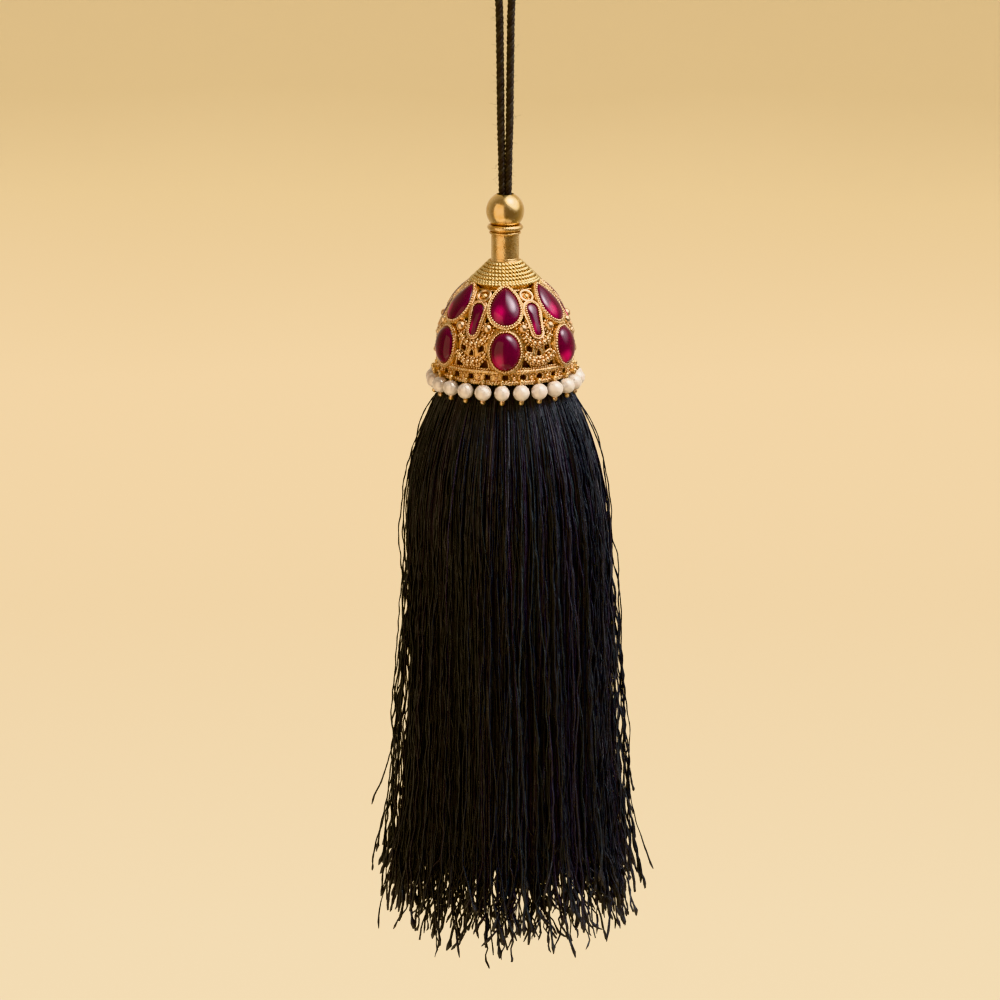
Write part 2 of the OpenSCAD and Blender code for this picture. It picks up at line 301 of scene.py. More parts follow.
def uneven_balls(centres: Array, radii: float | Array, shift: float, sizes: Pair, rng: Rng) -> Shell:
    """Places balls that lie and measure a little unevenly.

    Args:
        centres: Where they would lie, shaped (balls, 3).
        radii: Their usual radii.
        shift: How far they usually lie off.
        sizes: Lowest and highest factor on a radius.
        rng: Where the differences come from.

    Returns:
        The points and the faces of all the balls.
    """
    moved = centres + rng.normal(0, shift, centres.shape)
    return balls(moved, radii * rng.uniform(*sizes, len(centres)))


def turned(profile: Array, steps: int) -> Shell:
    """Turns a closed profile round the tassel's axis.

    Args:
        profile: Radius and height of each corner, clockwise in the half plane.
        steps: Corners round the axis.

    Returns:
        The points and the faces.
    """
    turn = all_round(steps)[:, None]
    radius, height = profile.T
    points = stacked(radius * np.cos(turn), radius * np.sin(turn), height)
    index = np.arange(steps * len(profile)).reshape(steps, -1)
    return points.reshape(-1, 3), [walls(index, np.roll(index, -1, 0))]


def in_scene(name: str, data: bpy.types.ID) -> bpy.types.Object:
    """Makes an object of some data and puts it into the scene.

    Args:
        name: The object's name.
        data: Its mesh, light or camera.

    Returns:
        The new object.
    """
    made = bpy.data.objects.new(name, data)
    bpy.context.scene.collection.objects.link(made)
    return made


class Piece:
    """Gathers the closed shells of one piece, then makes its mesh."""

    def __init__(self, name: str) -> None:
        """Starts an empty piece.

        Args:
            name: The piece's name.
        """
        self.name = name
        self.points: list[Array] = []
        self.faces: list[Array] = []
        self.marks: dict[str, list[Array]] = {}
        self.count = 0

    def add(self, shell: Shell, **marks: float | Array) -> Piece:
        """Adds one shell.

        Args:
            shell: Its points and its faces by their width.
            marks: A value for each point under each name that the finish reads.

        Returns:
            The piece itself.
        """
        points, faces = shell
        self.points.append(points)
        self.faces += [face + self.count for face in faces]
        for name, values in marks.items():
            self.marks.setdefault(name, []).append(np.broadcast_to(values, len(points)))
        self.count += len(points)
        return self

    def make(self, material: Material, slot: Slot, *replaced: str) -> bpy.types.Object:
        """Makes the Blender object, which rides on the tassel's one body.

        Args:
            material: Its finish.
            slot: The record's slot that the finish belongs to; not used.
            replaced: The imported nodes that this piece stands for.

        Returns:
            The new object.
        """
        mesh = bpy.data.meshes.new(self.name)
        points = np.concatenate(self.points) * MM
        corners = np.concatenate([face.ravel() for face in self.faces]).astype(np.int32)
        widths = np.concatenate([np.full(len(face), face.shape[1]) for face in self.faces])
        mesh.vertices.add(len(points))
        mesh.vertices.foreach_set("co", points.astype(np.float32).ravel())
        mesh.loops.add(len(corners))
        mesh.loops.foreach_set("vertex_index", corners)
        mesh.polygons.add(len(widths))
        mesh.polygons.foreach_set("loop_start", (np.cumsum(widths) - widths).astype(np.int32))
        mesh.update(calc_edges=True)
        mesh.shade_smooth()
        for name, values in self.marks.items():
            layer = mesh.attributes.new(name, "FLOAT", "POINT")
            layer.data.foreach_set("value", np.concatenate(values).astype(np.float32))
        mesh.materials.append(material)
        piece = in_scene(self.name, mesh)
        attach(piece, BODY)
        if replaced:
            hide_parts(*replaced)
        log.info("%s: %d points, %d triangles", self.name, len(points), int((widths - 2).sum()))
        return piece


# Finishes


def filled(tree: bpy.types.NodeTree, node: bpy.types.Node, inputs: Inputs) -> bpy.types.Node:
    """Fills inputs of a node.

    Args:
        tree: The tree that the node is in.
        node: The node.
        inputs: A socket to link from or a fixed value, by each input's name or number.

    Returns:
        The node.
    """
    for key, value in inputs.items():
        socket = node.inputs[key]
        if isinstance(value, Socket):
            tree.links.new(value, socket)
        else:
            socket.default_value = (*value, 1.0) if socket.type == "RGBA" else value
    return node


def added(tree: bpy.types.NodeTree, kind: str, inputs: Inputs | None = None,
          **options: str | float) -> bpy.types.Node:
    """Adds a node to a tree.

    Args:
        tree: The tree.
        kind: What the node's type says after ShaderNode.
        inputs: What its inputs are filled with.
        options: Its settings.

    Returns:
        The new node.
    """
    node = tree.nodes.new(f"ShaderNode{kind}")
    for name, value in options.items():
        setattr(node, name, value)
    return filled(tree, node, inputs or {})


def coloured(tree: bpy.types.NodeTree, value: Socket, stops: tuple[tuple[float, Colour], ...]) -> Socket:
    """Turns a value into a colour.

    Args:
        tree: The tree that takes the ramp.
        value: The value, from 0 to 1.
        stops: Place and colour of each stop, in rising order.

    Returns:
        The colour.
    """
    node = added(tree, "ValToRGB", {"Fac": value})
    for _ in stops[2:]:
        node.color_ramp.elements.new(0.5)
    for element, (place, colour) in zip(node.color_ramp.elements, stops):
        element.position = place
        element.color = (*colour, 1.0)
    return node.outputs["Color"]


class Shader:
    """A node material while it is put together. Sizes are millimetres."""

    def __init__(self, name: str, **inputs: float | Colour) -> None:
        """Starts a material with one Principled shader.

        Args:
            name: The material's name.
            inputs: What is the same all over it, as in dress.
        """
        self.material = bpy.data.materials.new(name)
        self.material.use_nodes = True
        self.tree = self.material.node_tree
        self.place = added(self.tree, "TexCoord").outputs["Object"]
        self.dress(**inputs)

    def dress(self, **inputs: Socket | float | Colour) -> None:
        """Fills inputs of the Principled shader, whose names have _ for a space here."""
        named = {name.replace("_", " "): value for name, value in inputs.items()}
        filled(self.tree, self.tree.nodes["Principled BSDF"], named)

    def noise(self, grain: float, detail: float = 2.0, stretch: Colour = (1, 1, 1)) -> Socket:
        """Smooth noise from 0 to 1.

        Args:
            grain: Size of its blotches.
            detail: Octaves of finer noise.
            stretch: Scale along each axis: below 1 draws the blotches out.

        Returns:
            The noise's value.
        """
        mapping = added(self.tree, "Mapping", {"Vector": self.place, "Scale": stretch})
        place = {"Vector": mapping.outputs["Vector"], "Scale": 1 / (grain * MM), "Detail": detail}
        return added(self.tree, "TexNoise", place).outputs["Fac"]

    def cells(self, grain: float) -> Socket:
        """Distance to the nearest of scattered points, for a grained surface."""
        place = {"Vector": self.place, "Scale": 1 / (grain * MM)}
        return added(self.tree, "TexVoronoi", place).outputs["Distance"]

    def mark(self, name: str) -> Socket:
        """The value that a piece's points hold under that name."""
        return added(self.tree, "Attribute", attribute_name=name).outputs["Fac"]

    def openness(self, reach: float) -> Socket:
        """How open the surface is, from 0 deep in a recess whose walls are within reach."""
        return added(self.tree, "AmbientOcclusion", {"Distance": reach * MM}, samples=8).outputs["AO"]

    def depth(self, near: float, far: float) -> Socket:
        """How far back a point lies, from 0 at near to 1 at far."""
        split = added(self.tree, "SeparateXYZ", {"Vector": self.place})
        return self.span(split.outputs["Y"], 0.0, 1.0, near * MM, far * MM)

    def math(self, kind: str, a: Socket | float, b: Socket | float) -> Socket:
        """One step of arithmetic on two values, kept between 0 and 1."""
        return added(self.tree, "Math", {0: a, 1: b}, operation=kind, use_clamp=True).outputs["Value"]

    def ramp(self, value: Socket, *stops: tuple[float, Colour]) -> Socket:
        """Turns a value into a colour through stops of place and colour."""
        return coloured(self.tree, value, stops)

    def span(self, value: Socket, low: float, high: float, start: float = 0, end: float = 1) -> Socket:
        """Maps a value from start to end onto the span from low to high."""
        spread = {"Value": value, "From Min": start, "From Max": end, "To Min": low, "To Max": high}
        return added(self.tree, "MapRange", spread).outputs["Result"]

    def blend(self, share: Socket, a: Socket | Colour, b: Socket | Colour) -> Socket:
        """Mixes two colours by a share of the second."""
        return added(self.tree, "Mix", {"Factor": share, 6: a, 7: b}, data_type="RGBA").outputs[2]

    def relief(self, height: Socket, depth: float) -> None:
        """Raises fine relief, where a height of 1 stands out by the depth."""
        bump = added(self.tree, "Bump", {"Height": height, "Distance": depth * MM})
        self.dress(Normal=bump.outputs["Normal"])


@dataclass(frozen=True)
class GoldFinish:
    """Gold plating, bright where it is rubbed and red-brown in its recesses, where patina and painted
    shade are laid into its colour.
    """

    name: str
    bright: Colour = (0.95, 0.73, 0.4)
    deep: Colour = (0.86, 0.58, 0.27)
    # Laid into recesses: patina together with painted shade, and the reach of the recesses that take it.
    patina_and_shade: Colour = (0.42, 0.18, 0.075)
    patina_and_shade_reach: float = 0.5
    blotch: float = 1.4
    smudge: float = 0.35
    roughness: float = 0.26
    # How much smoother and rougher the smudges make it.
    rubbed: float = 0.08
    dulled: float = 0.14
    grain: float = 0.22
    relief: float = 0.03

    def material(self) -> Material:
        """Makes the finish.

        Returns:
            The gold as a material.
        """
        shader = Shader(self.name, Metallic=1.0)
        plating = shader.ramp(shader.noise(self.blotch, 3.0), (0.35, self.deep), (0.6, self.bright))
        # Recesses take the patina and painted shade colour through ambient occlusion.
        shader.dress(
            Base_Color=shader.blend(shader.openness(self.patina_and_shade_reach), self.patina_and_shade, plating),
            Roughness=shader.span(shader.noise(self.smudge), self.roughness - self.rubbed,
                                  self.roughness + self.dulled))
        if self.relief:
            shader.relief(shader.cells(self.grain), self.relief)
        return shader.material


@dataclass(frozen=True)
class RubyFinish:
    """Deep wine-red stone with painted light: a painted glow, as of a bright foil showing through on the
    side away from the light, and painted shade at its edge.
    """

    name: str = "foiled_ruby"
    deep: Colour = (0.05, 0.0, 0.012)
    body: Colour = (0.1, 0.0, 0.02)
    # The colour of the painted glow, a pool of light painted into the stone, and then the painted shade
    # at its edge.
    glow: Colour = (0.41, 0.006, 0.086)
    edge: Colour = (0.03, 0.0, 0.008)
    # Size of the cloudy veils in the stone, and how much they darken or lighten it.
    veil: float = 1.1
    veil_depth: float = 0.12

    def material(self) -> Material:
        """Makes the finish that reads its painted glow and its painted edge shade from its points.

        Returns:
            The stone as a material.
        """
        shader = Shader(self.name, Roughness=0.12, IOR=1.76, Specular_Tint=(0.9, 0.84, 1.0))
        veil = shader.span(shader.noise(self.veil, 2.0), -self.veil_depth, self.veil_depth)
        # The painted glow lightens each point towards the glow colour, and the painted edge shade
        # darkens the stone's foot.
        lit = shader.math("ADD", shader.mark("glow"), veil)
        colour = shader.ramp(lit, (0.0, self.deep), (0.4, self.body), (1.0, self.glow))
        shader.dress(Base_Color=shader.blend(shader.mark("edge"), colour, self.edge))
        return shader.material


@dataclass(frozen=True)
class PearlFinish:
    """Cream nacre with a soft pink and grey lustre."""

    name: str = "cream_nacre"
    cream: Colour = (0.66, 0.6, 0.54)
    pink: Colour = (0.66, 0.55, 0.5)
    grey: Colour = (0.55, 0.49, 0.45)
    lustre: float = 1.1
    dimple: float = 0.9
    dimple_depth: float = 0.006

    def material(self) -> Material:
        """Makes the finish.

        Returns:
            The nacre as a material.
        """
        shader = Shader(self.name, Roughness=0.3, IOR=1.8, Coat_Weight=1.0, Coat_Roughness=0.16,
                        Coat_IOR=2.4)
        shader.dress(Base_Color=shader.ramp(shader.noise(self.lustre, 2.0), (0.3, self.grey),
                                            (0.5, self.cream), (0.7, self.pink)))
        shader.relief(shader.noise(self.dimple, 1.0), self.dimple_depth)
        return shader.material


@dataclass(frozen=True)
class SilkFinish:
    """Black silk whose threads differ a little in tint, with a few lighter threads painted as glints,
    and glint in short dashes.
    """

    name: str
    black: Colour = (0.012, 0.0132, 0.0195)
    plum: Colour = (0.032, 0.027, 0.0445)
    olive: Colour = (0.0245, 0.0295, 0.0355)
    brown: Colour = (0.037, 0.0335, 0.045)
    # The lightest tone, a painted glint on the few threads that reach it.
    painted_glint: Colour = (0.1, 0.1, 0.115)
    worn: Colour = (0.036, 0.033, 0.036)
    # How much of the worn colour a tip takes.
    wear: float = 0.8
    # Size of the glinting dashes, their stretch along a thread, where they start and how sharply.
    dash: float = 0.5
    dash_stretch: float = 0.35
    dash_start: float = 0.42
    dash_edge: float = 5.0
    dash_depth: float = 0.05
    smooth: float = 0.25
    dull: float = 0.6
    gloss: float = 0.85
    sheen: Colour = (0.74, 0.865, 1.0)

    def material(self) -> Material:
        """Makes the finish that reads tone and tip from its points.

        Returns:
            The silk as a material.
        """
        shader = Shader(self.name, IOR=1.5, Specular_IOR_Level=self.gloss, Specular_Tint=self.sheen)
        # Tones differ at random from thread to thread, and the top of the ramp is the painted glint.
        dyed = shader.ramp(shader.mark("tone"), (0.0, self.plum), (0.3, self.black), (0.62, self.black),
                           (0.78, self.olive), (0.92, self.brown), (1.0, self.painted_glint))
        worn_share = shader.math("MULTIPLY", shader.mark("tip"), self.wear)
        dashes = shader.noise(self.dash, 1.0, (1.0, 1.0, self.dash_stretch))
        past_start = shader.math("SUBTRACT", dashes, self.dash_start)
        sharp = shader.math("MULTIPLY", past_start, self.dash_edge)
        shader.dress(Base_Color=shader.blend(worn_share, dyed, self.worn),
                     Roughness=shader.span(sharp, self.dull, self.smooth))
        shader.relief(dashes, self.dash_depth)
        return shader.material


@dataclass(frozen=True)
class HeadFinish:
    """Red-brown painted on the threads' bound head, seen through the dome's openings: painted warm shade
    for the dim inside of the dome.
    """

    name: str = "bound_head"
    dark: Colour = (0.12, 0.035, 0.02)
    light: Colour = (0.32, 0.1, 0.05)
    lump: float = 0.8
    lump_depth: float = 0.1

    def material(self) -> Material:
        """Makes the finish.

        Returns:
            The head, with its painted warm shade, as a material.
        """
        shader = Shader(self.name, Roughness=0.55)
        painted_head_shade = shader.noise(self.lump, 3.0)
        shader.dress(Base_Color=shader.ramp(painted_head_shade, (0.3, self.dark), (0.7, self.light)))
        shader.relief(painted_head_shade, self.lump_depth)
        return shader.material


@dataclass(frozen=True)
class StageFinish:
    """Matt warm paper for the floor and the sweep behind, with painted shade that darkens it further
    back.
    """

    name: str = "cream_paper"
    # Painted shade: the paper's colour darkens from near to far, as the light falls off further back.
    near: Colour = (0.86, 0.752, 0.54)
    middle: Colour = (0.85, 0.69, 0.445)
    far: Colour = (0.6, 0.475, 0.27)
    fades_from: float = 1100
    fades_to: float = 3200
    mottle: float = 600
    mottle_depth: float = 0.03

    def material(self) -> Material:
        """Makes the finish.

        Returns:
            The paper as a material.
        """
        shader = Shader(self.name, Roughness=0.9, Specular_IOR_Level=0.2)
        mottle = shader.span(shader.noise(self.mottle, 1.0), -self.mottle_depth, self.mottle_depth)
        # Painted shade that grows further back, with a random mottle on top.
        back = shader.math("ADD", shader.depth(self.fades_from, self.fades_to), mottle)
        shader.dress(Base_Color=shader.ramp(back, (0.05, self.near), (0.62, self.middle),
                                            (0.8, self.far)))
        return shader.material


# The tassel's driving shapes


@dataclass(frozen=True)
class Seat:
    """A place on the dome with its own axes."""

    origin: Array
    right: Array
    upward: Array
    outward: Array

    def at(self, flat: Array) -> Array:
        """Points given by their way right, up the dome and outward."""
        return self.origin + flat @ np.stack([self.right, self.upward, self.outward])


@dataclass(frozen=True)
class Dome:
    """The dome's profile: an arc above a straight band over the rim."""

    rim_z: float = -78.0
    radius: float = 12.0
    band_h: float = 3.4
    flank_back: float = 3.65
    wall: float = 0.9
    sectors: int = 6

    @property
    def arc_r(self) -> float:
        """Radius of the flank's arc."""
        return self.radius + self.flank_back

    @property
    def sector(self) -> float:
        """Degrees from one drop stone to the next."""
        return 360 / self.sectors

    def around(self, turn: float | Array, radius: float | Array, height: float | Array) -> Array:
        """Points by degrees from the front, radius and height above the rim."""
        angle = np.radians(turn - 90)
        return stacked(radius * np.cos(angle), radius * np.sin(angle), self.rim_z + height)

    def seat(self, turn: float, up: float) -> Seat:
        """A seat on the dome.

        Args:
            turn: Degrees from the front, to the right.
            up: Degrees up the flank's arc.

        Returns:
            The seat, with its outward axis square to the dome.
        """
        angle, rise = math.radians(turn - 90), math.radians(up)
        away = np.array([math.cos(angle), math.sin(angle), 0.0])
        radius = self.arc_r * math.cos(rise) - self.flank_back
        height = self.rim_z + self.band_h + self.arc_r * math.sin(rise)
        return Seat(
            origin=away * radius + UP * height,
            right=np.array([-math.sin(angle), math.cos(angle), 0.0]),
            upward=UP * math.cos(rise) - away * math.sin(rise),
            outward=away * math.cos(rise) + UP * math.sin(rise),
        )

    def hugged(self, points: Array, out: float) -> Array:
        """Draws points onto the dome's outside.

        Args:
            points: Points near the dome.
            out: How far outside its wall they end.

        Returns:
            The moved points.
        """
        radius, height = np.linalg.norm(points[:, :2], axis=1), points[:, 2]
        arc_z = self.rim_z + self.band_h
        arc = unit(stacked(radius + self.flank_back, height - arc_z)) * (self.arc_r + out)
        new_radius = np.where(height < arc_z, self.radius + out, arc[:, 0] - self.flank_back)
        new_height = np.where(height < arc_z, height, arc[:, 1] + arc_z)
        return stacked(*(points[:, :2].T * new_radius / radius), new_height)


@dataclass(frozen=True)
class StoneShape:
    """One cut of stone: its outline on the dome and its height above it."""

    cut: Cut
    width: float
    length: float
    height: float
    # Degrees up the dome's arc, and degrees from the front to the first one.
    up: float
    turn: float
    # How far the highest point lies up the dome from the outline's middle.
    heart: float
    # A narrow stone's lower radius, as a share of its width.
    taper: float = 0.33
    # Play between the stone and its beads.
    gap: float = 0.05
    corners: int = 96

    def outline(self) -> Array:
        """Draws the girdle's outline.

        Returns:
            Its points, evenly spaced and counter-clockwise, with +Y up the dome.
        """
        half = self.length / 2
        if self.cut is Cut.OVAL:
            turn = all_round(self.corners)
            points = stacked(self.width / 2 * np.cos(turn), half * np.sin(turn))
        elif self.cut is Cut.DROP:
            turn = all_round(4 * self.corners)
            # The largest value that the curve across reaches.
            fullest = 2 * 0.6**0.75 * 0.4**0.5
            across = -self.width / 2 * np.sin(turn) * np.sqrt(np.sin(turn / 2)) / fullest
            points = stacked(across, half * np.cos(turn))
        else:
            top_r, low_r = self.width / 2, self.width * self.taper
            lean = math.asin((top_r - low_r) / (self.length - top_r - low_r))
            over = np.linspace(-lean, math.pi + lean, self.corners // 2)
            under = np.linspace(math.pi + lean, 2 * math.pi - lean, self.corners // 2)
            points = np.concatenate([
                stacked(top_r * np.cos(over), half - top_r + top_r * np.sin(over)),
                stacked(low_r * np.cos(under), low_r - half + low_r * np.sin(under)),
            ])
        return resampled(points, self.corners, closed=True)

    def ring(self, out: float, height: float, count: int) -> Array:
        """A closed line round the stone.

        Args:
            out: How far outside the girdle it runs.
            height: How far above the dome's tangent plane it runs.
            count: Points on it.

        Returns:
            The points in the seat's axes, shaped (count, 3).
        """
        line = self.outline()
        ahead = unit(np.roll(line, -1, 0) - np.roll(line, 1, 0))
        grown = line + out * stacked(ahead[:, 1], -ahead[:, 0])
        return stacked(*resampled(grown, count, closed=True).T, height)


STONES = (
    StoneShape(Cut.OVAL, 5.35, 6.75, 1.95, 9.2, 0.0, 0.0),
    StoneShape(Cut.DROP, 5.3, 7.6, 1.35, 38.4, 0.0, -0.5),
    StoneShape(Cut.NARROW, 2.3, 6.1, 0.75, 29.0, 30.0, 0.5),
)


# Sub-assemblies, from the top down


@dataclass(frozen=True)
class HangingCord:
    """The doubled cord: up one leg, over the loop and down the other."""

    cotton: Material
    rng: Rng
    diameter: float = 1.4
    loop_r: float = 3.3
    crown_steps: int = 6
    exit_z: float = -45.7
    plies: int = 3
    ply_r: float = 0.41
    lay_r: float = 0.32
    lay_length: float = 2.7
    lay_steps: int = 12
    sides: int = 7
    # How much the legs are pressed thinner and drawn together at the ball, and over what height.
    squeeze: float = 0.08
    drawn_in: float = 0.25
    squeezed_over: float = 12.0
    fibres: int = 420
    fibre_r: float = 0.022
    fibre_root: float = 0.55
    fibre_reach: Pair = (0.2, 0.75)
    fibre_rise: float = 0.35
    fibre_curl: float = 1.2
    fibre_tip: float = 0.4
    # One leg's route from the head of the skirt to the loop's crown, in metres.
    leg: tuple[Pair, ...] = (
        (0.00072, -0.0641), (0.00072, -0.060), (0.00072, -0.056), (0.00072, -0.052),
        (0.00072, -0.047), (0.00072, -0.043), (0.00072, -0.039), (0.00076, -0.035),
        (0.0008, -0.031), (0.00084, -0.027), (0.00089, -0.023), (0.00094, -0.019),
        (0.001, -0.015), (0.00114, -0.012), (0.0015, -0.0094), (0.00212, -0.0072),
        (0.00278, -0.0052), (0.0032, -0.0036),
    )

    def route(self) -> Array:
        """Draws the whole centre line.

        Returns:
            Its points in millimetres, rounded through the given ones.
        """
        leg = np.array(self.leg) / MM
        turn = np.radians(180 * np.arange(self.crown_steps + 1) / self.crown_steps)
        centre = self.diameter / 2 - self.loop_r
        crown = stacked(self.loop_r * np.cos(turn), centre + self.loop_r * np.sin(turn))
        across, height = np.concatenate([leg, crown, (leg * [-1, 1])[::-1]]).T
        return smooth_line(stacked(across, 0.0, height), 6)

    def build(self) -> None:
        """Makes the twisted cord and its loose fibres."""
        line = self.route()
        length = float(spans(line).sum())
        turns = length / self.lay_length
        steps = round(turns * self.lay_steps)
        drawn = resampled(line, steps)
        pressed = risen(-drawn[:, 2], -self.exit_z - self.squeezed_over, self.squeezed_over)
        size = 1 - self.squeeze * pressed
        drawn[:, 0] *= 1 - self.drawn_in * pressed
        shell = rope(drawn, self.plies, self.ply_r * size, self.lay_r * size, turns, steps, self.sides)
        tone = np.repeat(self.rng.uniform(0.2, 0.8, self.plies), steps * self.sides)
        made = Piece("twisted_cord").add(shell, tone=tone, tip=0.0).make(self.cotton, Slot.CORD, "cord")
        fuzz = self.fuzz(line)
        log.info("cord: %.1f mm along its centre line", length)

    def fuzz(self, line: Array) -> bpy.types.Object:
        """Makes the fine fibres that stand off the cord.

        Args:
            line: The cord's centre line.

        Returns:
            The fibres' object.
        """
        at = resampled(line, 2000)
        free = at[at[:, 2] > self.exit_z]
        root = free[self.rng.integers(0, len(free), self.fibres)]
        out = unit(self.rng.normal(size=(self.fibres, 3)) * [1, 1, self.fibre_rise])
        curl = unit(self.rng.normal(size=(self.fibres, 3))) * self.fibre_curl
        reach = self.rng.uniform(*self.fibre_reach, (self.fibres, 1, 1))
        share = np.linspace(0, 1, 6)[None, :, None]
        start = (root + out * self.fibre_root)[:, None]
        paths = start + reach * (out[:, None] * share + curl[:, None] * share**2)
        shell = tubes(paths, self.fibre_r * (1 - (1 - self.fibre_tip) * share[..., 0]), 3)
        return Piece("cord_fibres").add(shell, tone=0.5, tip=0.35).make(self.cotton, Slot.CORD)


@dataclass(frozen=True)
class Neck:
    """The trim of the neck: twisted wires round the shoulder and a small fillet above."""

    dome: Dome
    woven: Material
    gold: Material
    rng: Rng
    tube_r: float = 2.5
    shoulder_r: float = 5.85
    shoulder_z: float = 16.65
    shoulder_h: float = 3.25
    rings: int = 6
    # Share of the slope at which the lowest ring lies, just past its foot.
    lowest: float = -0.015
    ply_r: float = 0.22
    lay_r: float = 0.2
    lay_length: float = 1.25
    lay_steps: int = 10
    wire_h: float = 0.2
    dent: float = 0.01
    flatness: float = 0.3
    fillet: float = 0.3
    # How far the fillet reaches into the tube's wall and down into the shoulder, and its straight foot.
    sunk: float = 0.3
    sunk_low: float = 0.15
    foot_h: float = 0.2

    @property
    def slope(self) -> float:
        """Radians between the shoulder's slope and the upright."""
        return math.atan2(self.shoulder_r - self.tube_r, self.shoulder_h)

    def level(self, share: float) -> Pair:
        """Places a wire on the shoulder's slope.

        Args:
            share: How far up the slope it lies, from 0 at the foot to 1 at the tube.

        Returns:
            Radius and height of the wire's middle.
        """
        radius = self.shoulder_r + (self.tube_r - self.shoulder_r) * share
        height = self.shoulder_z + self.shoulder_h * share
        return radius + self.wire_h * math.cos(self.slope), height + self.wire_h * math.sin(self.slope)

    def pressed(self, points: Array) -> Array:
        """Presses wires towards the shoulder's slope, as they are hammered flat.

        Args:
            points: The wires' points.

        Returns:
            The moved points.
        """
        away = unit(points * [1, 1, 0])
        radius, height = self.level(0.0)
        normal = away * math.cos(self.slope) + UP * math.sin(self.slope)
        base = away * radius + UP * (height + self.dome.rim_z)
        proud = np.sum((points - base) * normal, axis=1, keepdims=True)
        return points - normal * proud * self.flatness

    def wires(self) -> None:
        """Makes the twisted wires up the shoulder."""
        piece = Piece("shoulder_wires")
        for ring in range(self.rings + 1):
            radius, height = self.level((ring - 0.5) / self.rings if ring else self.lowest)
            circle = self.dome.around(np.arange(0, 360, 3), radius, height)
            turns = round(2 * math.pi * radius / self.lay_length)
            points, faces = rope(circle, 2, self.ply_r, self.lay_r, turns, turns * self.lay_steps, 7,
                                 closed=True)
            piece.add((self.pressed(points + self.rng.normal(0, self.dent, points.shape)), faces))
        piece.make(self.woven, Slot.GOLD)

    def foot(self) -> None:
        """Makes the fillet where the tube runs into the shoulder."""
        turn = np.radians(np.linspace(180, 270, 9))
        low = self.shoulder_z + self.shoulder_h - self.sunk_low
        curve = stacked(self.tube_r + self.fillet * (1 + np.cos(turn)),
                        low + self.foot_h + self.fillet * 2 * (1 + np.sin(turn)))
        inside = self.tube_r - self.sunk
        profile = [[self.tube_r + self.fillet, low], *curve[::-1], [inside, curve[0, 1]], [inside, low]]
        shell = turned(np.array(profile) + [0, self.dome.rim_z], 96)
        Piece("neck_foot").add(shell).make(self.gold, Slot.GOLD)


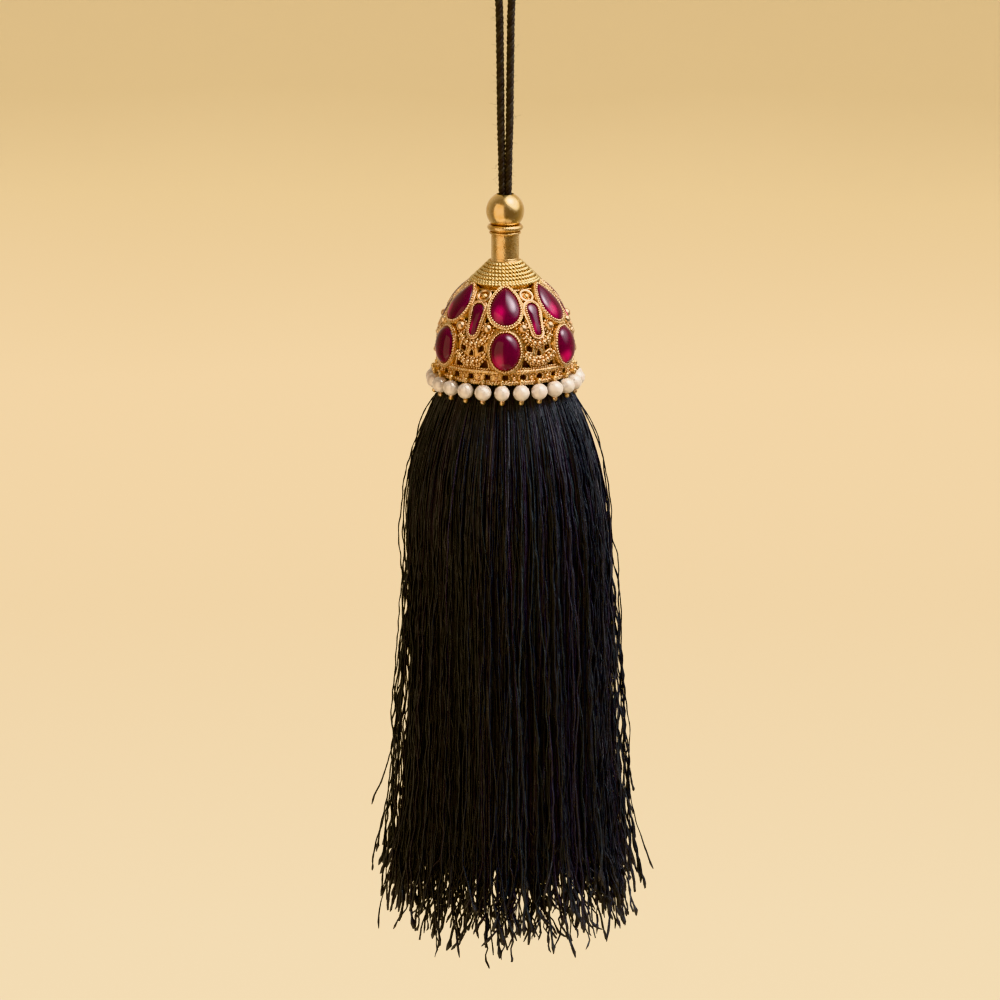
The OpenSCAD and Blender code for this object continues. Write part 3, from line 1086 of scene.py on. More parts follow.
@dataclass(frozen=True)
class Stones:
    """The eighteen cabochons and the beaded wires that hold them."""

    dome: Dome
    ruby: Material
    gold: Material
    rng: Rng
    rings: int = 12
    girdle_h: float = 0.5
    # How far under the girdle's edge a row of points keeps it crisp.
    crisp: float = 0.08
    back: float = -0.35
    # How quickly the painted shade at the stone's edge fades with the height.
    edge_shade_fade: float = 3.2
    # The painted glow, a pool of light painted low on the left: its place off the middle, how wide it
    # spreads, and its strength at the rim and all over.
    glow_left: Pair = (0.35, 0.55)
    glow_low: Pair = (0.4, 0.6)
    glow_spread: Pair = (0.12, 0.2)
    glow_rim: float = 0.35
    glow_all: float = 0.15
    # How strong the painted glow's pool is, and how near the outline the painted glow of the rim starts.
    glow_strength: Pair = (0.6, 1.0)
    glow_rim_from: float = 0.5
    bead_r: float = 0.235
    bead_pitch: float = 0.48
    bead_shift: float = 0.015
    bead_sizes: Pair = (0.92, 1.08)
    # The factor on the beads of the narrow stones.
    slim: float = 0.8
    bead_h: float = 0.43
    # How far out the beads' row lies and how far it laps over the stone, in radii of a bead.
    bead_out: float = 0.5
    bead_lap: float = 0.2
    wire_r: float = 0.16
    # The radius of the wire under the beads, as a part of theirs.
    base_wire_part: float = 0.9
    # How far outside and below the beads each wire lies, the outer one from their edge.
    base_wire: Pair = (0.06, 0.2)
    outer_wire: Pair = (0.1, 0.24)
    narrow_wire: Pair = (0.37, 0.22)

    def cabochon(self, shape: StoneShape) -> tuple[Shell, Array]:
        """One stone in its seat's axes.

        Args:
            shape: Its cut.

        Returns:
            Its shell, and each point's share of the width, length and height.
        """
        outline = shape.outline()
        count = len(outline)
        edge = self.back + self.girdle_h
        heart = np.array([0.0, shape.heart])
        levels = [(1.0, self.back), (1.0, edge - self.crisp)]
        levels += [(math.cos(a) ** 0.9, edge + (shape.height - edge) * math.sin(a))
                   for a in np.radians(np.linspace(0, 86, self.rings))]
        rows = [stacked(*(heart + (outline - heart) * share).T, height) for share, height in levels]
        points = np.concatenate([*rows, [[*heart, self.back]], [[*heart, shape.height]]])
        index = np.arange(len(levels) * count).reshape(-1, count)
        under = stacked(np.roll(index[0], -1), index[0], len(points) - 2)
        over = stacked(index[-1], np.roll(index[-1], -1), len(points) - 1)
        size = np.array([shape.width / 2, shape.length / 2, shape.height])
        return (points, [walls(index[:-1], index[1:]), under, over]), points / size

    def glow(self, share: Array) -> Array:
        """How much painted glow each point of a stone takes: a painted pool of light low on its left, a
        lighter painted rim and a little all over.

        Args:
            share: Each point's share of the width, length and height.

        Returns:
            The glow from 0 to 1.
        """
        across, along = share[:, 0], share[:, 1]
        ranges = (self.glow_left, self.glow_low, self.glow_spread)
        left, low, spread = [self.rng.uniform(*limits) for limits in ranges]
        pool = np.exp(-((across + left) ** 2 + (along + low) ** 2) / spread)
        rim = np.clip(across**2 + along**2 - self.glow_rim_from, 0, 1) * self.glow_rim
        return np.clip(pool * self.rng.uniform(*self.glow_strength) + rim + self.glow_all, 0, 1)

    def bezel(self, piece: Piece, shape: StoneShape, seat: Seat) -> None:
        """Adds the bead row at one stone's edge and the wires under and outside it.

        Args:
            piece: The bezels' piece.
            shape: The stone's cut.
            seat: The stone's seat.
        """
        narrow = shape.cut is Cut.NARROW
        slim = self.slim if narrow else 1.0
        bead_r = self.bead_r * slim
        out = shape.gap + self.bead_r * (slim * self.bead_out - self.bead_lap)
        length = spans(shape.ring(out, self.bead_h, shape.corners)).sum()
        beads = seat.at(shape.ring(out, self.bead_h, round(float(length) / self.bead_pitch / slim)))
        piece.add(uneven_balls(beads, bead_r, self.bead_shift, self.bead_sizes, self.rng))
        wires = [(self.base_wire, 0.0, bead_r * self.base_wire_part),
                 (self.outer_wire, bead_r, self.wire_r)]
        if narrow:
            wires += [(self.narrow_wire, 0.0, self.wire_r)]
        for (off, below), more, wire_r in wires:
            ring = shape.ring(out + more + off, self.bead_h - below, shape.corners)
            piece.add(wire_ring(seat.at(ring), wire_r, 8))

    def build(self) -> None:
        """Makes every stone and every bezel."""
        for shape in STONES:
            (points, faces), share = self.cabochon(shape)
            # Painted shade at the stone's foot, darkest at the girdle and gone higher up.
            edge = np.clip(1 - share[:, 2] * self.edge_shade_fade, 0, 1) ** 2
            bezels = Piece(f"{shape.cut.value}_bezels")
            for k in range(self.dome.sectors):
                seat = self.dome.seat(shape.turn + k * self.dome.sector, shape.up)
                name = f"{shape.cut.value}_stone_{k + 1}"
                stone = Piece(f"{name}_polished")
                stone.add((seat.at(points), faces), glow=self.glow(share), edge=edge)
                stone.make(self.ruby, Slot.RUBY, name)
                self.bezel(bezels, shape, seat)
            bezels.make(self.gold, Slot.GOLD)


@dataclass(frozen=True)
class DomeWork:
    """The wire and granule work between the stones, and the rim's rings."""

    dome: Dome
    gold: Material
    rng: Rng
    # Degrees up the arc of each garland's lowest point, half its span and its sag.
    garlands: tuple[tuple[float, float, float], ...] = ((13.4, 2.4, 1.4), (1.8, 2.8, 1.5))
    # Shift across a garland, height above the dome, radius and pitch of each row's granules.
    garland_rows: tuple[tuple[float, float, float, float], ...] = (
        (-0.54, 0.12, 0.32, 0.6), (0.0, 0.42, 0.44, 0.82), (0.54, 0.12, 0.32, 0.6),
    )
    garland_shift: float = 0.025
    garland_sizes: Pair = (0.88, 1.12)
    # The factor on a granule at a swag's ends, and what its lowest point adds to it.
    garland_ends: float = 0.8
    garland_swell: float = 0.25
    eyelet_up: float = 46.0
    eyelet_r: float = 1.15
    eyelet_h: float = 0.2
    eyelet_wire_r: float = 0.3
    eyelet_ball_r: float = 0.52
    eyelet_steps: int = 48
    flower_up: float = 23.5
    flower_turn: float = 14.0
    # Count, radius of the ring, height, size and splits of a flower's granules.
    flower_rings: tuple[tuple[int, float, float, float, int], ...] = (
        (1, 0.0, 0.55, 0.82, 2), (11, 1.04, 0.16, 0.26, 1),
    )
    flower_sizes: Pair = (0.9, 1.1)
    # Turn from the sector's middle, degrees up the arc, and the opening's outline.
    gaps: tuple[tuple[float, float, tuple[Pair, ...]], ...] = (
        (11.5, 47.5, ((-0.5, 0.9), (0.6, 0.9), (-0.3, -0.9))),
        (12.3, 29.0, ((0.95, -0.85), (-0.45, -0.85), (-0.4, 0.3), (-0.15, 1.1), (0.1, 0.75))),
        (8.3, 10.6, ((-0.35, -0.7), (-0.5, 0.1), (0.25, 0.8), (0.65, 0.2), (0.55, -0.35))),
        (12.0, 1.0, ((-0.95, -0.75), (0.75, -0.75), (0.6, 0.2), (0.2, 1.1), (-0.3, 0.2))),
        (0.0, 7.6, ((-0.42, -0.5), (0.42, -0.5), (0.3, 0.15), (0.0, 0.65), (-0.3, 0.15))),
    )
    gap_steps: int = 28
    gap_wire_r: float = 0.14
    # How far the wire runs outside an opening's edge and outside the dome's wall.
    gap_margin: float = 0.2
    gap_proud: float = 0.03
    # Radius, height above the rim, granules round it and their radius.
    rim_rows: tuple[tuple[float, float, int, float], ...] = (
        (12.22, 2.36, 132, 0.28), (12.12, 2.84, 156, 0.2), (12.1, 2.02, 156, 0.17),
        (12.16, 0.44, 132, 0.28), (12.1, 0.04, 156, 0.2),
    )
    rim_shift: float = 0.03
    rim_sizes: Pair = (0.88, 1.1)
    hole_count: int = 24
    hole_z: float = 1.25
    hole_granules: int = 11
    hole_granule_r: float = 0.17
    hole_sizes: Pair = (0.85, 1.2)
    hole_ring: Pair = (0.76, 0.66)
    hole_proud: float = 0.02
    # Degrees from an opening, height above the rim and radius of each granule on a post.
    studs: tuple[tuple[float, float, float], ...] = (
        (7.5, 1.25, 0.32), (5.9, 1.7, 0.2), (9.1, 1.7, 0.2), (7.0, 0.85, 0.22), (8.0, 0.85, 0.22),
    )
    stud_proud: float = 0.03
    stud_sizes: Pair = (0.9, 1.1)
    lattice_shift: float = 0.04

    def garland_work(self) -> None:
        """Makes the swags of granules that hang under the narrow stones."""
        piece = Piece("garland_granules")
        for k in range(self.dome.sectors):
            for up, span, sag in self.garlands:
                seat = self.dome.seat(self.dome.sector * (k + 0.5), up)
                arc_r = (span**2 + sag**2) / (2 * sag)
                half = math.asin(span / arc_r)
                for shift, lift, bead_r, pitch in self.garland_rows:
                    radius = arc_r + shift
                    turn = np.linspace(-half, half, round(2 * half * radius / pitch))
                    # How full the swag is: 0 at its ends and 1 at its lowest point.
                    full = np.sin((turn + half) / (2 * half) * math.pi)
                    flat = stacked(radius * np.sin(turn), arc_r - radius * np.cos(turn),
                                   lift * (1 + full) / 2)
                    uneven = self.rng.uniform(*self.garland_sizes, len(turn))
                    radii = bead_r * uneven * (self.garland_ends + self.garland_swell * full)
                    loose = self.rng.normal(0, self.garland_shift, flat.shape)
                    piece.add(balls(seat.at(flat) + loose, radii))
        piece.make(self.gold, Slot.GOLD)

    def flowers(self) -> None:
        """Makes the flowers of granules beside each narrow stone."""
        piece = Piece("granule_flowers")
        for k in range(self.dome.sectors):
            for side in (-1, 1):
                turn = self.dome.sector * (k + 0.5) + side * self.flower_turn
                seat = self.dome.seat(turn, self.flower_up)
                for count, radius, height, bead_r, splits in self.flower_rings:
                    angle = all_round(count) + self.rng.uniform(0, 1)
                    flat = stacked(radius * np.cos(angle), radius * np.sin(angle), height)
                    radii = bead_r * self.rng.uniform(*self.flower_sizes, count)
                    piece.add(balls(seat.at(flat), radii, splits))
        piece.make(self.gold, Slot.GOLD)

    def eyelets(self) -> None:
        """Makes the wire rings high between the drop stones."""
        piece = Piece("eyelet_rings")
        for k in range(self.dome.sectors):
            seat = self.dome.seat(self.dome.sector * (k + 0.5), self.eyelet_up)
            turn = all_round(self.eyelet_steps) + self.rng.uniform(0, 1)
            flat = stacked(self.eyelet_r * np.cos(turn), self.eyelet_r * np.sin(turn), self.eyelet_h)
            piece.add(wire_ring(seat.at(flat), self.eyelet_wire_r, 10))
            piece.add(balls(seat.origin[None], self.eyelet_ball_r, 2))
        piece.make(self.gold, Slot.GOLD)

    def gap_wires(self) -> None:
        """Makes the fine wires that line the pierced openings."""
        piece = Piece("opening_wires")
        for k in range(self.dome.sectors):
            for turn, up, outline in self.gaps:
                for side in ((1,) if turn == 0 else (-1, 1)):
                    seat = self.dome.seat(self.dome.sector * (k + 0.5) + side * turn, up)
                    line = resampled(np.array(outline) * [side, 1], self.gap_steps, closed=True)
                    line = line + unit(line - line.mean(0)) * self.gap_margin
                    across, along = ((np.roll(line, 1, 0) + line * 2 + np.roll(line, -1, 0)) / 4).T
                    path = self.dome.hugged(seat.at(stacked(across, along, 0.0)), self.gap_proud)
                    piece.add(wire_ring(path, self.gap_wire_r, 6))
        piece.make(self.gold, Slot.GOLD)

    def rim(self) -> None:
        """Makes the granulated rings above and below the row of openings."""
        piece = Piece("rim_granules")
        for radius, height, count, bead_r in self.rim_rows:
            turn = 360 * np.arange(count) / count + self.rng.uniform(0, 2)
            at = self.dome.around(turn, radius, height)
            piece.add(uneven_balls(at, bead_r, self.rim_shift, self.rim_sizes, self.rng))
        piece.make(self.gold, Slot.GOLD)

    def lattice(self) -> None:
        """Makes the granules that round off each opening and stud the posts between."""
        piece = Piece("lattice_granules")
        angle = all_round(self.hole_granules)
        wide, high = self.hole_ring
        degrees = math.degrees(1 / self.dome.radius)
        shift, height, stud_r = np.array(self.studs).T
        for hole in range(self.hole_count):
            turn = 360 * hole / self.hole_count
            level = self.hole_z + high * np.sin(angle) + self.rng.normal(0, self.lattice_shift)
            ring = self.dome.around(turn + wide * degrees * np.cos(angle),
                                    self.dome.radius + self.hole_proud, level)
            piece.add(balls(ring, self.hole_granule_r * self.rng.uniform(*self.hole_sizes, len(ring))))
            posts = self.dome.around(turn + shift, self.dome.radius + self.stud_proud, height)
            piece.add(uneven_balls(posts, stud_r, self.lattice_shift, self.stud_sizes, self.rng))
        piece.make(self.gold, Slot.GOLD)

    def build(self) -> None:
        """Makes all the dome's wire and granule work."""
        self.garland_work()
        self.flowers()
        self.eyelets()
        self.gap_wires()
        self.rim()
        self.lattice()


@dataclass(frozen=True)
class PearlFringe:
    """The twenty-four pearls under the rim, with their wire loops and end granules."""

    dome: Dome
    nacre: Material
    gold: Material
    rng: Rng
    count: int = 24
    radius: float = 1.5
    turn: float = -2.5
    out: float = 1.0
    drop: float = -1.3
    tip_drop: float = 1.66
    tip_r: float = 0.47
    tip_shift: float = 0.08
    tip_sizes: Pair = (0.85, 1.1)
    loop_r: float = 0.42
    loop_out: float = 0.85
    loop_z: float = 0.62
    loop_wire_r: float = 0.14
    # How lumpy a pearl is, and how many lumps it has.
    unevenness: float = 0.045
    lumps: int = 5
    # Waves across a pearl in radians, and their level where it keeps its radius.
    lump_waves: float = 2.2
    lump_level: float = 0.6
    # Lowest and highest factor on a pearl's height, and on its size.
    heights: Pair = (0.94, 1.02)
    sizes: Pair = (0.94, 1.05)

    def place(self, pearl: int, out: float, height: float) -> Array:
        """A point beside one pearl's hanging line, outside the dome's wall."""
        turn = self.turn + 360 * pearl / self.count
        return self.dome.around(turn, self.dome.radius + out, height)

    def build(self) -> None:
        """Makes each pearl a little uneven, as the real ones are, and then the findings."""
        ball, faces = granule(3)
        for k in range(self.count):
            lumps = unit(self.rng.normal(size=(self.lumps, 3)))
            phases = self.rng.uniform(0, 6, self.lumps)
            waves = np.cos(ball @ lumps.T * self.lump_waves + phases).mean(1)
            swell = 1 + self.unevenness * (waves - self.lump_level)
            squash = np.array([1, 1, self.rng.uniform(*self.heights)]) * self.rng.uniform(*self.sizes)
            points = self.place(k, self.out, self.drop) + ball * squash * (self.radius * swell)[:, None]
            name = f"pearl_{k + 1:02d}"
            Piece(f"{name}_nacre").add((points, [faces])).make(self.nacre, Slot.PEARL, name)
        self.findings()

    def findings(self) -> None:
        """Makes the loop above each pearl and the granule below it."""
        piece = Piece("pearl_findings")
        turn = np.radians(np.arange(0, 360, 15))
        for k in range(self.count):
            away = unit(self.place(k, 0, 0) * [1, 1, 0])
            ring = self.loop_r * (np.outer(np.cos(turn), away) + np.outer(np.sin(turn), UP))
            loop = self.place(k, self.loop_out, self.loop_z) + ring
            piece.add(wire_ring(loop, self.loop_wire_r, 6))
            tip = self.place(k, self.out, self.drop - self.tip_drop)
            tip = tip + self.rng.normal(0, self.tip_shift, 3)
            piece.add(balls(tip[None], self.tip_r * self.rng.uniform(*self.tip_sizes, 1), 2))
        piece.make(self.gold, Slot.GOLD)


@dataclass(frozen=True)
class Strands:
    """One kind of thread in the skirt."""

    name: str
    count: int
    # Points along each thread, or on each span of a drawn stray.
    steps: int
    # How much closer the points lie towards the end.
    crowd: float
    sides: int
    # Length of the splaying end in millimetres, and its usual splay in degrees.
    reach: float
    splay: float
    # Thinnest and thickest, as factors on the usual radius, and the range of the tones.
    girths: Pair
    tones: Pair


@dataclass(frozen=True)
class Skirt:
    """The silk threads: a dense body, a loose net around it, and a ragged hem.

    A share is a share of the threads' length, from 0 at the rim down to 1.
    """

    dome: Dome
    silk: Material
    # The bound head's finish, which carries painted warm shade.
    painted_head_shade: Material
    rng: Rng
    length: float = 105.0
    thread_r: float = 0.14
    locks: int = 36
    # Share and radius of the dense body.
    body_rows: tuple[Pair, ...] = (
        (-0.03, 10.2), (0.0, 10.6), (0.014, 10.95), (0.028, 11.6), (0.047, 12.8), (0.1, 14.9),
        (0.155, 16.5), (0.245, 18.0), (0.43, 18.4), (0.62, 18.5), (0.82, 18.7), (0.95, 19.6),
        (1.05, 20.8),
    )
    # Share and radius of the loose net's outside.
    net_rows: tuple[Pair, ...] = (
        (-0.03, 10.2), (0.0, 10.6), (0.028, 11.7), (0.047, 12.9), (0.1, 15.1), (0.155, 17.0),
        (0.245, 18.8), (0.43, 20.6), (0.62, 21.7), (0.82, 22.7), (0.95, 24.0), (1.05, 25.6),
    )
    # The long strays at the two sides: share and radius.
    left_stray: tuple[Pair, ...] = (
        (0.06, 13.3), (0.129, 16.5), (0.161, 17.6), (0.21, 18.6), (0.292, 19.5), (0.339, 19.2),
        (0.372, 19.0), (0.405, 19.3), (0.455, 19.8), (0.509, 20.1), (0.626, 21.3), (0.67, 20.8),
        (0.758, 21.8), (0.824, 23.1), (0.892, 24.8), (0.931, 25.4),
    )
    right_stray: tuple[Pair, ...] = (
        (0.05, 12.9), (0.099, 16.1), (0.145, 17.5), (0.226, 19.2), (0.292, 19.6), (0.339, 20.7),
        (0.389, 21.0), (0.439, 21.5), (0.539, 21.8), (0.617, 22.8), (0.67, 23.5), (0.735, 23.2),
        (0.793, 23.8), (0.847, 25.2), (0.929, 28.2),
    )
    # The part of the threads that still hang at a share, and that share.
    end_rows: tuple[Pair, ...] = (
        (0.0, 1.03), (0.008, 1.013), (0.025, 1.0), (0.06, 0.987), (0.13, 0.97), (0.24, 0.955),
        (0.4, 0.938), (0.6, 0.921), (0.82, 0.904), (1.0, 0.88),
    )
    # How much lower the ends hang in front, as a share.
    front_low: float = 0.016
    # How many tufts the hem's ends gather into, how far they come together, the share where
    # that starts and the stretch that it takes.
    tufts: int = 68
    tuft_pull: float = 0.8
    tuft_start: float = 0.865
    tuft_over: float = 0.075
    # How unevenly the tufts lie: the size of each wave, in tufts, and its count round the skirt.
    tuft_waves: tuple[tuple[float, int], ...] = ((0.8, 19), (0.5, 31))
    # The part of the threads that cross over to the tuft beside their own.
    crossing: float = 0.34
    # The longest waves of a thread's crinkle and of a loose strand's, in millimetres.
    thread_waves: tuple[float, ...] = (14.0, 8.0, 5.0)
    net_waves: tuple[float, ...] = (30.0, 17.0, 9.0)
    # How far out and how far sideways a loose strand's waves reach.
    net_reach: Pair = (0.17, 0.06)
    # The lowest share where a strand leaves the body, and over how much of a share it does.
    net_leaves: float = 0.42
    net_over: float = 0.28
    # How much wider the net hangs on the right, and near the hem.
    net_lean: float = 0.035
    net_wide: float = 0.045
    # How much wider the threads hang on the right, and slimmer on the left, in the middle and
    # at the hem.
    body_lean: float = 0.05
    hem_lean: float = 0.035
    # How much slimmer they all hang in the middle, and how much wider at the hem.
    middle_slim: float = 0.025
    hem_wide: float = 0.085
    # How proud each lock stands, how far its threads lean towards it, how unevenly the locks
    # lie and in how many groups.
    lock_depth: float = 0.22
    lock_lean: float = 0.35
    lock_shift: float = 1.3
    lock_groups: int = 5
    # The share where the long threads start, above the rim, and where they have settled.
    thread_start: float = -0.012
    settled: float = 0.25
    # The part of the threads that hang loose, how far off they are, and how far the hem flares.
    loose_part: float = 0.15
    loose_reach: float = 1.5
    flare: float = 3.4
    # The height of a thread's waves, and what is added to it near the hem.
    kink: float = 0.04
    hem_kink: float = 0.2
    # The share where each of these starts, and its stretch.
    flare_span: Pair = (0.75, 0.25)
    kink_span: Pair = (0.76, 0.12)
    # How far out drift and splay are turned into an angle: for the body and for the outer strands.
    body_r: float = 18.0
    strand_r: float = 20.0
    # Shares at the top and bottom of the bound head and of the dense middle, with their rows.
    head_span: tuple[float, float, int] = (-0.132, 0.004, 24)
    core_span: tuple[float, float, int] = (0.0, 0.903, 50)
    # Play between the bound head and the dome's wall, in millimetres.
    head_gap: float = 0.5
    # The share where the dense middle closes, and over how much of a share it does.
    core_end: float = 0.905
    core_over: float = 0.07
    # The middle's radius as a part of the body's, and how far inside that it lies.
    core_part: float = 0.93
    core_inside: float = 0.2
    groove: float = 0.2
    groove_steps: int = 216
    # How many finer grooves and how many bands of tone run down the middle; the lightest part of each
    # band takes the painted glint colour.
    fine_grooves: int = 97
    tone_bands: int = 13
    # The knot near a tip: how far from it, how thick and how long, in millimetres.
    knot_at: Pair = (0.1, 1.6)
    knot_size: Pair = (0.3, 1.5)
    knot_length: float = 0.4
    # How much a thread frays out towards its tip, and over how many millimetres.
    fraying: float = 0.5
    fray_length: float = 9.0
    # Over how many millimetres a thread thins out at its very end, and its colour looks worn.
    thin_length: float = 1.2
    worn_length: float = 4.0
    inner: Strands = Strands("inner_threads", 560, 26, 1.35, 3, 8.0, 10.0, (0.8, 1.15), (0.0, 1.0))
    outer: Strands = Strands("outer_threads", 640, 50, 1.35, 3, 8.0, 10.0, (0.8, 1.15), (0.0, 1.0))
    loose: Strands = Strands("loose_net", 236, 98, 1.0, 3, 9.0, 9.0, (1.0, 1.75), (0.1, 0.88))
    under: Strands = Strands("middle_ends", 460, 7, 1.2, 4, 5.0, 8.0, (1.5, 1.5), (0.0, 0.9))
    low: Strands = Strands("hem_ends", 125, 30, 1.3, 4, 8.0, 11.0, (0.9, 1.2), (0.0, 1.0))
    stray: Strands = Strands("stray_threads", 13, 8, 1.0, 5, 6.0, 8.0, (1.0, 1.0), (0.6, 0.6))

    @staticmethod
    def profile(rows: tuple[Pair, ...], share: Array) -> Array:
        """The radius down the skirt, rounded between the rows.

        Args:
            rows: Share and radius at some places.
            share: The shares that are wanted.

        Returns:
            The radii, shaped like share.
        """
        shares, radii = np.array(rows).T
        grid = np.linspace(shares[0], shares[-1], 541)
        window = np.hanning(21)
        padded = np.pad(np.interp(grid, shares, radii), 10, mode="edge")
        return np.interp(share, grid, np.convolve(padded, window / window.sum(), mode="valid"))

    def laid(self, turn: Array, share: Array, radius: Array) -> Array:
        """Points by radians round the axis, share and radius."""
        height = self.dome.rim_z - share * self.length
        return stacked(radius * np.cos(turn), radius * np.sin(turn), height)

    def spread(self, count: int) -> Array:
        """Places all round the axis, in radians, each with a small shift."""
        return 2 * math.pi * (np.arange(count) + self.rng.uniform(-0.5, 0.5, count)) / count

    def ends(self, turn: Array) -> Array:
        """The shares where threads at these places end."""
        part, share = np.array(self.end_rows).T
        return np.interp(self.rng.uniform(0, 1, len(turn)), part, share) - self.front_low * np.sin(turn)

    @staticmethod
    def steps(start: float | Array, end: Array, kind: Strands) -> Array:
        """Shares at each step of each thread of that kind, from start to end."""
        way = 1 - (1 - np.linspace(0, 1, kind.steps)) ** kind.crowd
        return np.reshape(start, (-1, 1)) + (end - start)[:, None] * way

    def wander(self, share: Array, reach: float, lowest: float, highest: float) -> Array:
        """Slow sideways drift of each thread, in millimetres.

        Args:
            share: Shares, shaped (threads, steps).
            reach: The usual drift at the hem.
            lowest: Fewest waves over the length.
            highest: Most waves over the length.

        Returns:
            The drift, shaped like share.
        """
        each = (len(share), 1)
        total = np.zeros_like(share)
        for part in (1.0, 0.6, 0.35):
            waves = self.rng.uniform(lowest, highest, each) / part
            phase = self.rng.uniform(0, 2 * math.pi, each)
            size = self.rng.normal(0, 1, each) * part * reach * 0.6
            total += size * (np.sin(2 * math.pi * waves * share + phase) - np.sin(phase))
        return total * risen(share, 0, 1 / 3)

    def crinkle(self, share: Array, reach: float | Array, waves: tuple[float, ...]) -> Array:
        """Short uneven waves of each thread, in millimetres.

        Args:
            share: Shares, shaped (threads, steps).
            reach: The usual height of one wave.
            waves: The longest waves of each size.

        Returns:
            The waves, shaped like share.
        """
        total = np.zeros_like(share)
        for longest in waves:
            wave = longest * self.rng.uniform(0.7, 1.0, (len(share), 1))
            phase = self.rng.uniform(0, 2 * math.pi, (len(share), 1))
            loose = np.cumsum(self.rng.normal(0, 0.22, share.shape), axis=1)
            total += np.sin(2 * math.pi * share * self.length / wave + phase + loose)
        return total * reach * risen(share, 0, 1 / 6)

    def gathered(self, turn: Array, share: Array) -> Array:
        """Turns each thread towards the middle of its tuft, or of the next one, near the hem.

        Args:
            turn: Each thread's place round the axis, in radians.
            share: Shares, shaped (threads, steps).

        Returns:
            The turn that it adds, in radians, shaped like share.
        """
        place = turn / (2 * math.pi) * self.tufts
        for size, count in self.tuft_waves:
            place = place + size * np.sin(turn * count)
        crosses = self.rng.random(len(turn)) < self.crossing
        over = np.where(crosses, self.rng.choice((-1, 1), len(turn)), 0)
        off = (np.round(place) + over - place) * 2 * math.pi / self.tufts
        return off[:, None] * self.tuft_pull * risen(share, self.tuft_start, self.tuft_over)

    def leaning(self, turn: Array, share: Array) -> Array:
        """How much wider the body hangs at each point, and more so on the right.

        Args:
            turn: Each thread's place round the axis, in radians.
            share: Shares, shaped (threads, steps).

        Returns:
            The factor on the radius, shaped like share.
        """
        right = np.cos(turn)[:, None]
        low = risen(share, 0.6, 0.35)
        middle = risen(share, 0.2, 0.25) * (self.body_lean * right - self.middle_slim)
        return 1 + middle * (1 - low) + (self.hem_wide + self.hem_lean * right) * low

    def tips(self, share: Array, end: Array, kind: Strands) -> tuple[Array, Array, Array]:
        """How the last stretch of each thread splays, thickens and knots.

        Args:
            share: Shares, shaped (threads, steps).
            end: Each thread's last share.
            kind: The kind of thread.

        Returns:
            The sideways shift, the factor on the radius, and how near the tip each point is.
        """
        each = (len(share), 1)
        left = (end[:, None] - share) * self.length
        lean = np.tan(np.radians(self.rng.normal(0, kind.splay, each)))
        knot_at = self.rng.uniform(*self.knot_at, each)
        knot = self.rng.uniform(*self.knot_size, each)
        knot = knot * np.exp(-(((left - knot_at) / self.knot_length) ** 2))
        frayed = 1 + self.fraying * risen(-left, -self.fray_length, self.fray_length)
        uneven = 1 + self.rng.normal(0, 0.12, share.shape)
        girth = risen(left, -self.thin_length / 2, self.thin_length) * frayed * uneven
        shift = risen(-left, -kind.reach, kind.reach) ** 1.25 * kind.reach * lean
        return shift, np.clip(girth + knot, 0.2, 3), risen(-left, -self.worn_length, self.worn_length)

    def add_threads(self, piece: Piece, paths: Array, girth: Array, sides: int, tone: Array,
                    tip: Array) -> Piece:
        """Adds threads.

        Args:
            piece: The piece that takes them.
            paths: Centre lines, shaped (threads, steps, 3).
            girth: Factors on the usual radius, shaped (threads, steps).
            sides: Corners of each ring.
            tone: Each thread's tone.
            tip: How near its tip each point is.

        Returns:
            The piece.
        """
        shell = tubes(paths, self.thread_r * girth, sides)
        tones = np.repeat(tone, paths.shape[1] * sides)
        return piece.add(shell, tone=tones, tip=np.repeat(tip.ravel(), sides))

    def make_threads(self, kind: Strands, paths: Array, girth: Array, tip: Array) -> None:
        """Makes all the threads of one kind, which differ in thickness and tone.

        Args:
            kind: The kind of thread.
            paths: Centre lines, shaped (threads, steps, 3).
            girth: Factors on the radius from the threads' tips, shaped (threads, steps).
            tip: How near its tip each point is.
        """
        thinnest, thickest = kind.girths
        if thickest > thinnest:
            girth = girth * self.rng.uniform(thinnest, thickest, (kind.count, 1))
        else:
            girth = girth * thickest
        tone = self.rng.uniform(*kind.tones, kind.count)
        piece = self.add_threads(Piece(kind.name), paths, girth, kind.sides, tone, tip)
        piece.make(self.silk, Slot.THREAD)

    def solid(self, name: str, share: Array, radius: Array, groove: float, material: Material,
              *replaced: str) -> None:
        """Makes one solid length of the bundle, with grooves down its side.

        Args:
            name: The piece's name.
            share: Shares from its top to its bottom.
            radius: Its radius at each of them.
            groove: How deep the grooves are.
            material: Its finish.
            replaced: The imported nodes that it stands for.
        """
        turn = all_round(self.groove_steps)
        waves = groove * (np.cos(turn * self.locks * 2) + 0.8 * np.cos(turn * self.fine_grooves + 1))
        points = self.laid(turn, share[:, None], radius[:, None] + waves).reshape(-1, 3)
        index = np.arange(len(points)).reshape(-1, self.groove_steps)
        faces = [walls(index[1:], index[:-1]), index[:1], index[-1:, ::-1]]
        tone = np.tile((1 + np.cos(turn * self.tone_bands)) / 2, len(share))
        Piece(name).add((points, faces), tone=tone, tip=0.0).make(material, Slot.THREAD, *replaced)

    def core(self) -> None:
        """Makes the bound head inside the dome and the dense middle under it."""
        head = np.linspace(*self.head_span)
        arc = self.dome.arc_r - self.dome.wall - self.head_gap
        over = np.clip(-head * self.length - self.dome.band_h, 0, None)
        self.solid("thread_head", head, np.sqrt(arc**2 - over**2) - self.dome.flank_back, 0.0, self.painted_head_shade)
        middle = np.linspace(*self.core_span)
        taper = np.sqrt(np.clip((self.core_end - middle) / self.core_over, 0.02, 1))
        radius = (self.profile(self.body_rows, middle) * self.core_part - self.core_inside) * taper
        self.solid("skirt_core", middle, radius, self.groove, self.silk, "thread_skirt")

